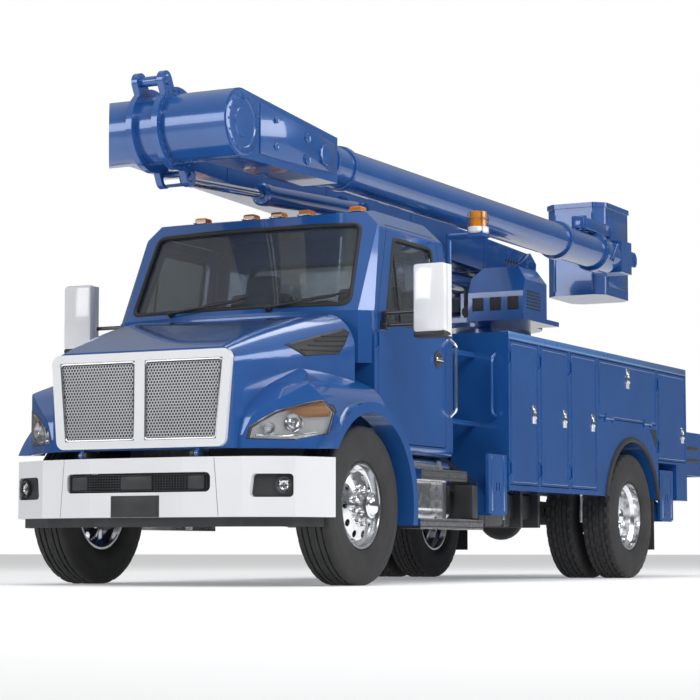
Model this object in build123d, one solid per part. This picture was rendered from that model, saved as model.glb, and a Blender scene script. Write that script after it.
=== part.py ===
"""Cherry picker truck: a bonneted service truck with an over-centre aerial device stowed over its cab.

Modelled in millimetres from the front axle's centre line on the ground, +X forward, +Y left, +Z up, and
moved at the end so that the origin lies under the middle of the whole vehicle's box.
"""

from build123d import *
import math
import os

# Driving dimensions of the vehicle
WHEELBASE = 4900
BUMPER_FRONT = 1000
BUCKET_REAR = -7780
HALF_WIDTH = 1220
FIT = 0.4
GAP = 6

# Wheels and tyres
TYRE_R = 525
TYRE_W = 270
RIM_R = 286
FRONT_TRACK = 2040
REAR_TRACK = 1830
TWIN_SPACING = 330
SPINDLE_R = 45
KINGPIN_Y = 800
KINGPIN_R = 22

# Ladder frame
RAIL_Y = 430
RAIL_Z = 720
RAIL_H = 260
RAIL_FLANGE = 80
RAIL_T = 10
RAIL_FRONT = 780
RAIL_REAR = -6560
RAIL_TOP = RAIL_Z + RAIL_H

# Front end: hood, grille and bumper
HOOD_PIVOT_X = 955
HOOD_PIVOT_Z = 845
HOOD_PIN_R = 14
HOOD_SKIN = 16
HOOD_REAR = -175
HOOD_BOTTOM = 875
GRILLE_HALF = 690
GRILLE_TOP = 1510
ARCH_R = 610
FLARE_W = 70
BUMPER_END_X = 520
BUMPER_BOTTOM = 440
BUMPER_TOP = 822
BUMPER_T = 45
SLOT_HALF = 545
PLATE_HALF = 185

# Cab
CAB_HALF = 1030
CAB_ROOF_HALF = 950
CAB_FRONT = -380
CAB_REAR = -1650
CAB_BOTTOM = 900
CAB_FLOOR = 1140
CAB_ROOF = 2630
CAB_WALL = 55
BELT_Z = 1860
SCREEN_BOW = 120
SCREEN_BASE_X = -310
SCREEN_TOP_X = -640
SCREEN_TOP_Z = 2550
DOOR_FRONT = -440
DOOR_REAR = -1530
DOOR_BOTTOM = 970
DOOR_STEP = 90
DOOR_STEP_X = -640
DOOR_TOP = 2500
GLASS_T = 6

# Service body
BODY_FRONT = -2240
BODY_REAR = -6330
BODY_BOTTOM = 680
BODY_TOP = 1870
BANK_DEPTH = 480
BODY_WALL = 24
DECK_T = 40
BODY_ARCH_R = 625
SHELF_REAR = -7050
DOOR_T = 30
HINGE_R = 7

# Outriggers
LEG_SLOPE = 36.5
LEG_BOX = 140
LEG_WALL = 8
GUARD_Z = 500
GUARD_H = 440
GUARD_T = 24
FRONT_LEG_X = -2055
REAR_LEG_X = -5800
GUARD_W = 340

# Aerial device
TURRET_X = -4750
TURNTABLE_Z = 2150
TURNTABLE_R = 430
PEDESTAL_HALF = 420
BOOM_PIVOT_X = -5900
BOOM_PIVOT_Z = 2830
BOOM_PIN_R = 60
LOWER_Y = -330
LOWER_W = 340
LOWER_H = 300
BOOM_WALL = 14
ELBOW_X = 635
ELBOW_Z = 3020
ELBOW_R = 230
ELBOW_PIN_R = 90
UPPER_Y = 420
UPPER_Z = 2980
UPPER_D = 300
RING_Y0 = -152
RING_Y1 = 90
LUG_R = 340
LUG_ANGLE = 63
LIFT_D = 170
LIFT_ROD_D = 90
LIFT_BASE_X = -3200
LIFT_Z = 2595
LIFT_EYE_X = -5430
LIFT_ROD_SHOWN = 260
RAM_D = 150
RAM_ROD_D = 64
RAM_Y = -32
RAM_BASE_X = -2200
RAM_DROP = 78
RAM_BARREL = 1500
TIP_X = -6800
BUCKET_FRONT = -6985
BUCKET_W = 600
BUCKET_BOTTOM = 2700
BUCKET_TOP = 3600
BUCKET_WALL = 14
TRUNNION_Z = 3100
TRUNNION_R = 30
TRUNNION_BOSS = 24

# Heights worked out from the axle line
FRONT_SEAT_Z = TYRE_R - 25
REAR_SEAT_Z = TYRE_R + 80
BOSS_Z0 = TYRE_R - 75
BOSS_Z1 = TYRE_R + 75
DISC_Y = 60
FRONT_NOSE = 130

VALANCE_T = 30
VALANCE_BACK = BUMPER_FRONT - BUMPER_T - FIT - VALANCE_T

HOOD_NOSE = 925
LIFT_EAR_Y = LIFT_D / 2 + 12
RAM_STROKE = 320
TIP_PIN_R = 30
WHEEL_T = 60
ARM_T = 30
LEG_END_Y = 1130
LEG_END_Z = 580
GUARD_Y = 1185
BEACON_X = -1750
BEACON_Y = 1195
BEACON_Z = 2570
POST_X = -1800
POST_Y = 930
POST_R = 24
COWL_Z = 1500
MIRROR_X = -505
FENDER_REAR = -350
FENDER_Y = 1190
EAR_Y = RAIL_Y - RAIL_T + GAP

# Places worked out along the booms
LIFT_BARREL = LIFT_BASE_X - LIFT_EYE_X - LIFT_ROD_SHOWN
LOWER_SLOPE = (ELBOW_Z - BOOM_PIVOT_Z) / (ELBOW_X - BOOM_PIVOT_X)
RAM_Z = BOOM_PIVOT_Z + (RAM_BASE_X - BOOM_PIVOT_X) * LOWER_SLOPE - RAM_DROP
WHEEL_Y = UPPER_Y - UPPER_D / 2 - GAP
ARM_Y = WHEEL_Y - WHEEL_T
BUCKET_Y = ARM_Y - TRUNNION_BOSS - BUCKET_W / 2
TRUNNION_X = (BUCKET_FRONT + BUCKET_REAR) / 2

ORIGIN_X = -(BUMPER_FRONT + BUCKET_REAR) / 2
REAR_AXLE_X = -WHEELBASE

nodes = {}


def block(x0, x1, y0, y1, z0, z1):
    """Box between two corners."""
    centre = ((x0 + x1) / 2, (y0 + y1) / 2, (z0 + z1) / 2)
    return Pos(*centre) * Box(abs(x1 - x0), abs(y1 - y0), abs(z1 - z0))


def outline(points, radius=0, inset=0):
    """Closed outline with its corners rounded, drawn inset from the given points."""
    face = make_face(Polyline(*points, close=True))
    if radius:
        face = fillet(face.vertices(), radius)
    return offset(face, -inset, kind=Kind.INTERSECTION) if inset else face


def rounded(points, inset=0):
    """Closed outline of corners given as (x, y, corner radius), drawn inset from them."""
    face = make_face(Polyline(*[(x, y) for x, y, r in points], close=True))
    for x, y, r in points:
        if r:
            face = fillet(face.vertices().sort_by_distance((x, y, 0))[0], r)
    return offset(face, -inset, kind=Kind.INTERSECTION) if inset else face


def side_plane(y):
    """Drawing plane seen from the side: local x is forward and local y is up."""
    return Plane(origin=(0, y, 0), x_dir=(1, 0, 0), z_dir=(0, -1, 0))


def cross_plane(x):
    """Drawing plane across the vehicle: local x is left and local y is up."""
    return Plane(origin=(x, 0, 0), x_dir=(0, 1, 0), z_dir=(1, 0, 0))


def side_prism(face, y0, y1):
    """Side outline carried across the vehicle from y0 to y1."""
    return extrude(side_plane(y1) * face, y1 - y0)


def cross_prism(face, x0, x1):
    """Cross outline carried along the vehicle from x0 to x1."""
    return extrude(cross_plane(x0) * face, x1 - x0)


def plan_prism(face, z0, z1):
    """Plan outline carried up from z0 to z1."""
    return extrude(Plane.XY.offset(z0) * face, z1 - z0)


def bar_x(y, z, r, x0, x1):
    """Round bar along the vehicle."""
    return Pos((x0 + x1) / 2, y, z) * Rot(0, 90, 0) * Cylinder(r, abs(x1 - x0))


def bar_y(x, z, r, y0, y1):
    """Round bar across the vehicle."""
    return Pos(x, (y0 + y1) / 2, z) * Rot(90, 0, 0) * Cylinder(r, abs(y1 - y0))


def bar_z(x, y, r, z0, z1):
    """Upright round bar."""
    return Pos(x, y, (z0 + z1) / 2) * Cylinder(r, abs(z1 - z0))


def mirrored(shape):
    """The same shape on the other side of the vehicle."""
    return shape.mirror(Plane.XZ)


def pair(shape):
    """A shape and its mirror image as separate solids."""
    return Compound([shape, mirrored(shape)])


def keep(name, shape):
    """Move a finished piece to the vehicle's origin and keep it under its name."""
    nodes[name] = Pos(ORIGIN_X, 0, 0) * shape


def chassis():
    """Ladder frame, axles, springs and powertrain."""
    inner = RAIL_Y - RAIL_T
    rail = block(RAIL_REAR, RAIL_FRONT, RAIL_Y - RAIL_FLANGE, RAIL_Y, RAIL_Z, RAIL_TOP)
    lip = RAIL_Y - RAIL_FLANGE - 1
    rail -= block(RAIL_REAR - 1, RAIL_FRONT + 1, lip, inner, RAIL_Z + RAIL_T, RAIL_TOP - RAIL_T)
    frame = rail + mirrored(rail)
    cross_h = 70
    for x in (700, -1760, -3200, -4300, -5500, -6500):
        frame += block(x - 40, x + 40, -inner, inner, RAIL_TOP - RAIL_T - cross_h, RAIL_TOP - RAIL_T)
    arm_t = 26
    arm = block(600, HOOD_PIVOT_X, inner - arm_t, inner, HOOD_PIVOT_Z - 20, HOOD_PIVOT_Z + 20)
    arm += bar_y(HOOD_PIVOT_X, HOOD_PIVOT_Z, 20, inner - arm_t, inner)
    arm += bar_y(HOOD_PIVOT_X, HOOD_PIVOT_Z, HOOD_PIN_R, inner - arm_t, inner + 40)
    frame += arm + mirrored(arm)
    beam_x = RAIL_FRONT - 20
    frame += block(beam_x - 40, beam_x, -RAIL_Y, RAIL_Y, RAIL_Z - 80, RAIL_Z + 20)
    horn = block(beam_x - 10, VALANCE_BACK, 200, 300, RAIL_Z - 70, RAIL_Z - 5)
    frame += horn + mirrored(horn)
    keep("frame", frame)

    # A leaf pack is an arc band hung under the rail at its two ends
    leaf_w = 76
    leaf_t = 48
    half_span = 690
    springs = []
    for axle_x, seat_z in ((0, FRONT_SEAT_Z), (REAR_AXLE_X, REAR_SEAT_Z)):
        eye_z = RAIL_Z - 10
        low = ThreePointArc((-half_span, eye_z - leaf_t), (0, seat_z), (half_span, eye_z - leaf_t))
        high = ThreePointArc((half_span, eye_z), (0, seat_z + leaf_t), (-half_span, eye_z))
        ends = [Line(low @ 1, high @ 0), Line(high @ 1, low @ 0)]
        band = make_face([low, ends[0], high, ends[1]])
        middle = RAIL_Y - RAIL_FLANGE / 2
        pack = Pos(axle_x, 0, 0) * side_prism(band, middle - leaf_w / 2, middle + leaf_w / 2)
        for end in (-1, 1):
            x = axle_x + end * (half_span - 40)
            pack += block(x - 40, x + 40, middle - leaf_w / 2, middle + leaf_w / 2, eye_z - 30, RAIL_Z)
        springs += [pack, mirrored(pack)]
    keep("leaf_springs", Compound(springs))

    # Drop-centre beam with a pocketed web and a boss for each kingpin
    web = outline(
        [
            (-KINGPIN_Y, 475), (-640, 470), (-560, 400), (560, 400), (640, 470), (KINGPIN_Y, 475),
            (KINGPIN_Y, 575), (600, 575), (500, FRONT_SEAT_Z),
            (-500, FRONT_SEAT_Z), (-600, 575), (-KINGPIN_Y, 575),
        ]
    )
    beam = cross_prism(web, -50, 50)
    for x0, x1 in ((-60, -22), (22, 60)):
        beam -= block(x0, x1, -520, 520, 424, FRONT_SEAT_Z - 24)
    for y in (-KINGPIN_Y, KINGPIN_Y):
        beam += bar_z(0, y, 58, BOSS_Z0, BOSS_Z1)
        beam -= bar_z(0, y, KINGPIN_R + FIT, BOSS_Z0 - 1, BOSS_Z1 + 1)
    keep("front_axle", beam)

    half_axle = (REAR_TRACK - TWIN_SPACING) / 2 - GAP
    rear = bar_y(REAR_AXLE_X, TYRE_R, 72, -half_axle, half_axle)
    rear += Pos(REAR_AXLE_X, 0, TYRE_R) * Sphere(200)
    rear -= block(REAR_AXLE_X - 201, REAR_AXLE_X - 160, -250, 250, 300, 750)
    rear += bar_x(0, TYRE_R, 85, REAR_AXLE_X + 150, REAR_AXLE_X + 330)
    for y in (-1, 1):
        rear += bar_y(REAR_AXLE_X, TYRE_R, SPINDLE_R, y * half_axle, y * (half_axle + TWIN_SPACING))
        middle = y * (RAIL_Y - RAIL_FLANGE / 2)
        rear += block(REAR_AXLE_X - 70, REAR_AXLE_X + 70, middle - 45, middle + 45, TYRE_R, REAR_SEAT_Z)
    keep("rear_axle", rear)

    # Engine, gearbox and shaft down to the rear axle's pinion
    engine = block(-360, 560, -320, 320, 760, 1420)
    engine += block(-20, 60, -RAIL_Y, RAIL_Y, RAIL_TOP, RAIL_TOP + 40)
    gearbox = cross_prism(outline([(-230, 780), (230, 780), (170, 1110), (-170, 1110)], 40), -1350, -360)
    tail = (-1310, 850)
    nose = (REAR_AXLE_X + 330, TYRE_R)
    run = (tail[0] - nose[0], tail[1] - nose[1])
    fall = math.degrees(math.atan2(run[1], run[0]))
    shaft_r = 55
    reach = math.hypot(*run) - shaft_r * math.sin(math.radians(fall)) - FIT
    shaft = Pos(tail[0], 0, tail[1]) * Rot(0, -fall, 0) * bar_x(0, 0, shaft_r, -reach, 0)
    keep("powertrain", engine + gearbox + shaft)


def tyre_ring():
    """One tyre centred on the origin, its axis along Y."""
    half = TYRE_W / 2
    bead = RIM_R + FIT
    section = [
        (bead, -half + 40), (bead + 60, -half + 6), (TYRE_R - 110, -half), (TYRE_R - 25, -half + 14),
        (TYRE_R, -half + 45), (TYRE_R, half - 45), (TYRE_R - 25, half - 14), (TYRE_R - 110, half),
        (bead + 60, half - 6), (bead, half - 40), (bead + 25, half - 70), (bead + 150, half - 60),
        (bead + 150, -half + 60), (bead + 25, -half + 70),
    ]
    return revolve(Plane.XY * outline(section), Axis.Y)


def disc_wheel(nose):
    """One disc wheel centred on the origin, its hub standing out by nose from the disc towards +Y."""
    half = TYRE_W / 2
    hub_r = 140
    barrel_t = 14
    well = [
        (RIM_R, -half + 30), (RIM_R, -half + 90), (RIM_R - 30, -half + 110), (RIM_R - 30, half - 110),
        (RIM_R, half - 90), (RIM_R, half - 30), (RIM_R - barrel_t, half - 30), (RIM_R - barrel_t, half - 80),
        (RIM_R - 50, half - 105), (RIM_R - 60, DISC_Y + 14), (hub_r, DISC_Y + 34), (95, DISC_Y + 34),
        (85, DISC_Y + nose - 10), (70, DISC_Y + nose), (SPINDLE_R + FIT, DISC_Y + nose),
        (SPINDLE_R + FIT, DISC_Y - 60), (95, DISC_Y - 60), (hub_r, DISC_Y), (RIM_R - 50, DISC_Y - 12),
        (RIM_R - 50, -half + 105), (RIM_R - barrel_t, -half + 80), (RIM_R - barrel_t, -half + 30),
    ]
    rim = revolve(Plane.XY * outline(well), Axis.Y)
    hand_hole = Rot(90, 0, 0) * Cylinder(24, 400)
    for i in range(10):
        angle = math.radians(36 * i)
        rim -= Pos(195 * math.cos(angle), 0, 195 * math.sin(angle)) * hand_hole
    return rim


def wheels():
    """Front wheels on their knuckles and twin rear wheels."""
    tyre = tyre_ring()
    rim = disc_wheel(FRONT_NOSE)
    twin = disc_wheel(TWIN_SPACING / 2 - DISC_Y - FIT)
    front = Pos(0, FRONT_TRACK / 2, TYRE_R)
    outer = Pos(REAR_AXLE_X, REAR_TRACK / 2 + TWIN_SPACING / 2, TYRE_R)
    inner = Pos(REAR_AXLE_X, REAR_TRACK / 2 - TWIN_SPACING / 2, TYRE_R)
    hub_end = FRONT_TRACK / 2 + DISC_Y - 60
    turned = Rot(180, 0, 0)
    knuckle = bar_z(0, KINGPIN_Y, KINGPIN_R, BOSS_Z0 - 60, BOSS_Z1 + 60)
    for z0 in (BOSS_Z0 - FIT - 46, BOSS_Z1 + FIT):
        knuckle += bar_z(0, KINGPIN_Y, 56, z0, z0 + 46)
        knuckle += block(-56, 56, KINGPIN_Y, KINGPIN_Y + 110, z0, z0 + 46)
    back_plate = KINGPIN_Y + 75
    knuckle += bar_y(0, TYRE_R, 150, back_plate, back_plate + 30)
    knuckle += bar_y(0, TYRE_R, 75, back_plate, hub_end - 4)
    knuckle += bar_y(0, TYRE_R, SPINDLE_R, back_plate, hub_end + 150)
    knuckle += block(-230, -20, KINGPIN_Y - 60, KINGPIN_Y - 20, BOSS_Z0 - FIT - 46, BOSS_Z0 - FIT)
    knuckle += block(-56, 0, KINGPIN_Y - 60, KINGPIN_Y, BOSS_Z0 - FIT - 46, BOSS_Z0 - FIT)
    twin_tyre = Compound([outer * tyre, inner * (turned * tyre)])
    twin_rim = Compound([outer * (turned * twin), inner * twin])
    for side, place in (("left", lambda s: s), ("right", mirrored)):
        keep("knuckle_" + side, place(knuckle))
        keep("tyre_front_" + side, place(front * tyre))
        keep("rim_front_" + side, place(front * rim))
        keep("tyres_rear_" + side, place(twin_tyre))
        keep("rims_rear_" + side, place(twin_rim))


def hood_loft(inset, stretch):
    """Hood between the fenders, lofted through three cross sections, inset and stretched down and back."""
    sections = (
        # x, half width, top, shoulder radius
        (HOOD_NOSE, GRILLE_HALF, GRILLE_TOP + 15, 100),
        (560, 790, 1655, 190),
        (HOOD_REAR, 985, BELT_Z - 25, 260),
    )
    faces = []
    for x, half, top, radius in sections:
        if inset and x == HOOD_NOSE:
            x -= inset
        if stretch and x == HOOD_REAR:
            x -= stretch
        low = HOOD_BOTTOM - stretch
        w = half - inset
        h = top - inset
        arch = Polyline((-w, h - radius), (-w, low), (w, low), (w, h - radius))
        right = RadiusArc((w, h - radius), (w - radius, h), -radius)
        roof = Line((w - radius, h), (radius - w, h))
        left = RadiusArc((radius - w, h), (-w, h - radius), -radius)
        faces.append(cross_plane(x) * make_face([arch, right, roof, left]))
    return loft(faces)


def fender_form(inset, stretch):
    """Left fender: where its side, plan and cross outlines all agree."""
    low = 300 - stretch
    back = FENDER_REAR - stretch
    inner = 560 - stretch
    nose_leg = [(885, low, 0)] if stretch else [(885, HOOD_BOTTOM, 0), (0, HOOD_BOTTOM, 0), (0, low, 0)]
    crown = [
        (back, low, 0), (back, 1330, 0), (-60, 1440, 400), (300, 1440, 400), (640, 1290, 300),
        (850, 1110, 150), (885, 960, 0),
    ]
    side = rounded(crown + nose_leg, inset)
    plan = rounded(
        [
            (back, inner, 0), (back, FENDER_Y, 0), (380, FENDER_Y, 300), (620, 1090, 250), (830, 830, 150),
            (900, 700, 60), (900, inner, 0),
        ],
        inset,
    )
    cross = rounded(
        [
            (inner, low, 0), (FENDER_Y, low, 0), (FENDER_Y, 1040, 300), (1100, 1270, 300), (930, 1400, 300),
            (inner, 1480, 0),
        ],
        inset,
    )
    form = side_prism(side, 500, 1300) & plan_prism(plan, 200, 1600)
    return form & cross_prism(cross, -900, 1100)


def lamp_window(clearance):
    """Swept headlamp outline carried along the vehicle."""
    face = outline(
        [(750, 935), (765, 1010), (900, 1110), (1125, 1190), (1160, 1120), (1140, 970), (1000, 932)],
        inset=-clearance,
    )
    return cross_prism(face, 420, 1000)


def front_end():
    """Tilting hood with its grille and headlamps, and the fixed bumper."""
    fender = fender_form(0, 0)
    hollow = fender_form(HOOD_SKIN, 120)
    hood = hood_loft(0, 0) + fender + mirrored(fender)
    hood -= hood_loft(HOOD_SKIN, 120)
    hood -= hollow + mirrored(hollow)
    arch = bar_y(0, TYRE_R, ARCH_R, 640, HALF_WIDTH + 50)
    flare = bar_y(0, TYRE_R, ARCH_R + FLARE_W, CAB_HALF + 25, HALF_WIDTH - 5)
    flare -= block(-900, 900, 900, 1300, -200, 400)
    flare -= block(0, 900, 900, 1300, 0, HOOD_BOTTOM)
    hood += flare + mirrored(flare)
    hood -= arch + mirrored(arch)
    window = lamp_window(GAP / 2)
    hood -= window + mirrored(window)
    hood -= block(HOOD_NOSE - 60, HOOD_NOSE + 20, -600, 600, HOOD_BOTTOM + 45, GRILLE_TOP - 40)
    ear = block(HOOD_NOSE - 14, HOOD_PIVOT_X, EAR_Y, EAR_Y + 26, HOOD_PIVOT_Z - 18, HOOD_BOTTOM + 8)
    ear += block(HOOD_NOSE - 14, HOOD_NOSE, EAR_Y, EAR_Y + 26, HOOD_PIVOT_Z - 18, HOOD_BOTTOM + 40)
    ear += bar_y(HOOD_PIVOT_X, HOOD_PIVOT_Z, 20, EAR_Y, EAR_Y + 26)
    ear -= bar_y(HOOD_PIVOT_X, HOOD_PIVOT_Z, HOOD_PIN_R + FIT, EAR_Y - 1, EAR_Y + 27)
    hood += ear + mirrored(ear)
    keep("hood", hood)

    lens = fender_form(-2, 0) & lamp_window(0)
    lens -= fender_form(HOOD_SKIN, 120)
    keep("headlamps", pair(lens))

    bottom = HOOD_BOTTOM + 12
    rim = outline(
        [(-640, bottom), (640, bottom), (GRILLE_HALF, GRILLE_TOP), (-GRILLE_HALF, GRILLE_TOP)],
        radius=60,
    )
    surround = cross_prism(rim, HOOD_NOSE, HOOD_NOSE + 30)
    for side in (-1, 1):
        mesh_window = outline(
            [
                (side * 38, bottom + 50), (side * 575, bottom + 50), (side * 622, GRILLE_TOP - 55),
                (side * 38, GRILLE_TOP - 55),
            ],
        )
        surround -= cross_prism(mesh_window, HOOD_NOSE + 10, HOOD_NOSE + 40)
    keep("grille", surround)

    wrap = [
        (BUMPER_END_X, -1205), (790, -1060), (940, -760), (BUMPER_FRONT, -350),
        (BUMPER_FRONT, 350), (940, 760), (790, 1060), (BUMPER_END_X, 1205),
    ]
    behind = [(BUMPER_END_X - 200, 1205), (BUMPER_END_X - 200, -1205)]
    skin = outline(wrap + behind) - outline(wrap + behind, inset=BUMPER_T)
    skin -= Pos(BUMPER_END_X - 400, 0) * Rectangle(800, 3000)
    bumper = plan_prism(skin, BUMPER_BOTTOM, BUMPER_TOP)
    slot = outline([(-SLOT_HALF, 600), (SLOT_HALF, 600), (SLOT_HALF, 725), (-SLOT_HALF, 725)], 35)
    bumper -= cross_prism(slot, 800, 1100)
    bumper -= block(BUMPER_FRONT - 14, 1100, -PLATE_HALF, PLATE_HALF, BUMPER_BOTTOM - 1, 580)
    for side in (-1, 1):
        pocket = outline([(side * 800, 565), (side * 1050, 565), (side * 1050, 712), (side * 815, 712)], 25)
        bumper -= cross_prism(pocket, 600, 1100)
    keep("bumper", bumper)

    seat = BUMPER_T + FIT
    back = outline(wrap + behind, inset=seat) - outline(wrap + behind, inset=seat + VALANCE_T)
    back -= Pos(BUMPER_END_X - 370, 0) * Rectangle(800, 3000)
    keep("valance", plan_prism(back, BUMPER_BOTTOM - 60, RAIL_Z))


def upright_hinge(x, face_y, z0, z1):
    """Barrel hinge on a side face, for a door that lies behind x: the door's half, then the fixed half."""
    y = face_y + HINGE_R + FIT
    leaf = 36
    moving = bar_z(x, y, HINGE_R, z0, z1) + block(x - leaf, x, face_y - 4, y, z0, z1)
    fixed = []
    for low, high in ((z0 - FIT - 20, z0 - FIT), (z1 + FIT, z1 + FIT + 20)):
        fixed.append(bar_z(x, y, HINGE_R, low, high) + block(x, x + leaf, face_y - 4, y, low, high))
    return moving, fixed


def cab_form(inset):
    """Cab's outside, or its inside when drawn inset: lower box, cowl and a greenhouse that leans back."""
    reach = 700
    corner = (SCREEN_BASE_X, 940)
    sides = Polyline(
        (corner[0], -corner[1]), (SCREEN_BASE_X - 90, -CAB_HALF), (CAB_REAR - 10, -CAB_HALF),
        (CAB_REAR - 10, CAB_HALF), (SCREEN_BASE_X - 90, CAB_HALF), corner,
    )
    bow = ThreePointArc(corner, (SCREEN_BASE_X + SCREEN_BOW, 0), (corner[0], -corner[1]))
    plan = make_face([sides, bow])
    lean_sides = Polyline(
        (corner[0], -corner[1]), (SCREEN_BASE_X - 90, -CAB_HALF), (CAB_REAR - reach, -CAB_HALF),
        (CAB_REAR - reach, CAB_HALF), (SCREEN_BASE_X - 90, CAB_HALF), corner,
    )
    lean_plan = make_face([lean_sides, bow])
    if inset:
        plan = offset(plan, -inset, kind=Kind.INTERSECTION)
        lean_plan = offset(lean_plan, -inset, kind=Kind.INTERSECTION)
    side = outline(
        [
            (CAB_REAR, CAB_BOTTOM), (200, CAB_BOTTOM), (200, 2360), (-560, 2575), (-860, CAB_ROOF),
            (CAB_REAR, CAB_ROOF),
        ],
        inset=inset,
    )
    cross = outline(
        [
            (-CAB_HALF, CAB_BOTTOM), (CAB_HALF, CAB_BOTTOM), (CAB_HALF, 1800), (CAB_ROOF_HALF, 2480),
            (790, CAB_ROOF), (-790, CAB_ROOF), (-CAB_ROOF_HALF, 2480), (-CAB_HALF, 1800),
        ],
        radius=50,
        inset=inset,
    )
    lean = Vector(SCREEN_TOP_X - SCREEN_BASE_X, 0, SCREEN_TOP_Z - BELT_Z)
    half = CAB_HALF - inset
    lower = block(CAB_REAR + inset, CAB_FRONT - inset, -half, half, CAB_BOTTOM, BELT_Z)
    form = lower + plan_prism(plan, COWL_Z + inset, BELT_Z)
    form += extrude(Plane.XY.offset(BELT_Z) * lean_plan, lean.length * 1.4, dir=lean.normalized())
    return form & side_prism(side, -1200, 1200) & cross_prism(cross, -1800, 0)


def door_outline(inset):
    """Side outline of a cab door, its front edge following the screen pillar."""
    return outline(
        [
            (DOOR_FRONT, DOOR_BOTTOM + DOOR_STEP), (DOOR_FRONT, BELT_Z - 20), (DOOR_FRONT - 300, DOOR_TOP),
            (DOOR_REAR, DOOR_TOP), (DOOR_REAR, DOOR_BOTTOM), (DOOR_STEP_X - DOOR_STEP, DOOR_BOTTOM),
            (DOOR_STEP_X, DOOR_BOTTOM + DOOR_STEP),
        ],
        radius=30,
        inset=inset,
    )


def door_window(inset):
    """Side outline of a door's window."""
    sill = BELT_Z - 70
    head = DOOR_TOP - 80
    return outline(
        [(DOOR_FRONT - 110, sill), (DOOR_FRONT - 370, head), (DOOR_REAR + 90, head), (DOOR_REAR + 90, sill)],
        radius=50,
        inset=inset,
    )


def screens(inset):
    """Windscreen and rear window openings carried along the vehicle."""
    sill = BELT_Z + 35
    front = outline([(-880, sill), (880, sill), (830, 2500), (-830, 2500)], radius=60, inset=inset)
    rear = outline([(-700, 1800), (700, 1800), (650, 2380), (-650, 2380)], radius=60, inset=inset)
    return [cross_prism(front, -900, 0), cross_prism(rear, CAB_REAR - 50, CAB_REAR + 120)]


def cab():
    """Hollow cab with its doors, glass, mirrors and fittings."""
    outer = cab_form(0)
    inner = cab_form(CAB_WALL)
    glass_layer = cab_form(20) - cab_form(20 + GLASS_T)
    wall = outer - (inner & block(-2000, 200, -1200, 1200, CAB_FLOOR, CAB_ROOF))
    wall -= block(CAB_REAR - 1, 0, -880, 880, CAB_BOTTOM - 1, CAB_FLOOR - 30)
    opening = side_prism(door_outline(-GAP), 700, 1200)
    swept = bar_y(0, TYRE_R, ARCH_R + 45, 560, HALF_WIDTH)
    shell = wall - opening - mirrored(opening) - swept - mirrored(swept)
    for screen in screens(0):
        shell -= screen
    panel = (outer - inner) & side_prism(door_outline(0), 700, 1200)
    panel -= side_prism(door_window(0), 700, 1200)
    for z in (1130, 1620):
        moving, fixed = upright_hinge(DOOR_FRONT, CAB_HALF, z, z + 90)
        panel += moving
        for half in fixed:
            shell += half + mirrored(half)
    mounts_z = RAIL_TOP
    for x in (-560, -1500):
        foot = block(x - 50, x + 50, RAIL_Y - 70, RAIL_Y, mounts_z, CAB_FLOOR - 30)
        shell += foot + mirrored(foot)
    keep("cab_shell", shell)
    keep("cab_glass", Compound([glass_layer & screen for screen in screens(FIT)]))
    pane = glass_layer & side_prism(door_window(FIT), 700, 1200)

    # Mirror head on two arms from the front of the door
    head = plan_prism(outline([(-35, 1310), (90, 1310), (90, 1530), (-35, 1545)], 20), 1670, 2160)
    mirror = Pos(MIRROR_X, 0, 0) * head
    for z in (1765, 1850):
        mirror += bar_y(MIRROR_X, z, 14, CAB_HALF + FIT, 1330)
    mirror += block(MIRROR_X - 40, MIRROR_X + 40, CAB_HALF + FIT, CAB_HALF + 18, 1735, 1795)
    mirror += block(MIRROR_X - 16, MIRROR_X + 16, CAB_HALF + 4, CAB_HALF + 30, 1780, 1860)
    for side, place in (("left", lambda s: s), ("right", mirrored)):
        keep("door_" + side, place(panel))
        keep("door_glass_" + side, place(pane))
        keep("mirror_" + side, place(mirror))

    seat_side = outline(
        [
            (-1010, CAB_FLOOR), (-950, 1480), (-980, 1590), (-1370, 1560), (-1480, 2120), (-1570, 2100),
            (-1500, 1480), (-1450, CAB_FLOOR),
        ],
        radius=25,
    )
    seat = side_prism(seat_side, 190, 720)

    face_x = CAB_FRONT - CAB_WALL
    dash_side = outline(
        [(face_x, 1420), (face_x, 1690), (-560, 1790), (-720, 1750), (-745, 1560), (-640, 1420)],
    )
    dash = side_prism(dash_side, -940, 940)
    wheel_place = Pos(-860, 450, 1800) * Rot(0, -55, 0)
    dash += wheel_place * Torus(215, 16)
    dash += wheel_place * Cylinder(60, 50)
    for turn in (0, 120, 240):
        dash += wheel_place * Rot(0, 0, turn) * Pos(110, 0, 0) * Box(220, 40, 16)
    dash += wheel_place * Pos(0, 0, -110) * Cylinder(35, 220)
    keep("cab_interior", Compound([seat, mirrored(seat), dash]))

    marks = [block(-940, -850, y - 45, y + 45, CAB_ROOF, CAB_ROOF + 42) for y in (-640, -230, 0, 230, 640)]
    marks = [fillet(m.edges().group_by(Axis.Z)[-1], 18) for m in marks]
    for y in (-1, 1):
        marks.append(block(BODY_REAR - 30, BODY_REAR, y * 1010, y * 1190, 1330, 1450))
    beacon = bar_z(BEACON_X, BEACON_Y, 75, BEACON_Z, BEACON_Z + 25)
    marks.append(beacon + bar_z(BEACON_X, BEACON_Y, 62, BEACON_Z, BEACON_Z + 140))
    keep("lamps", Compound(marks))


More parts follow.
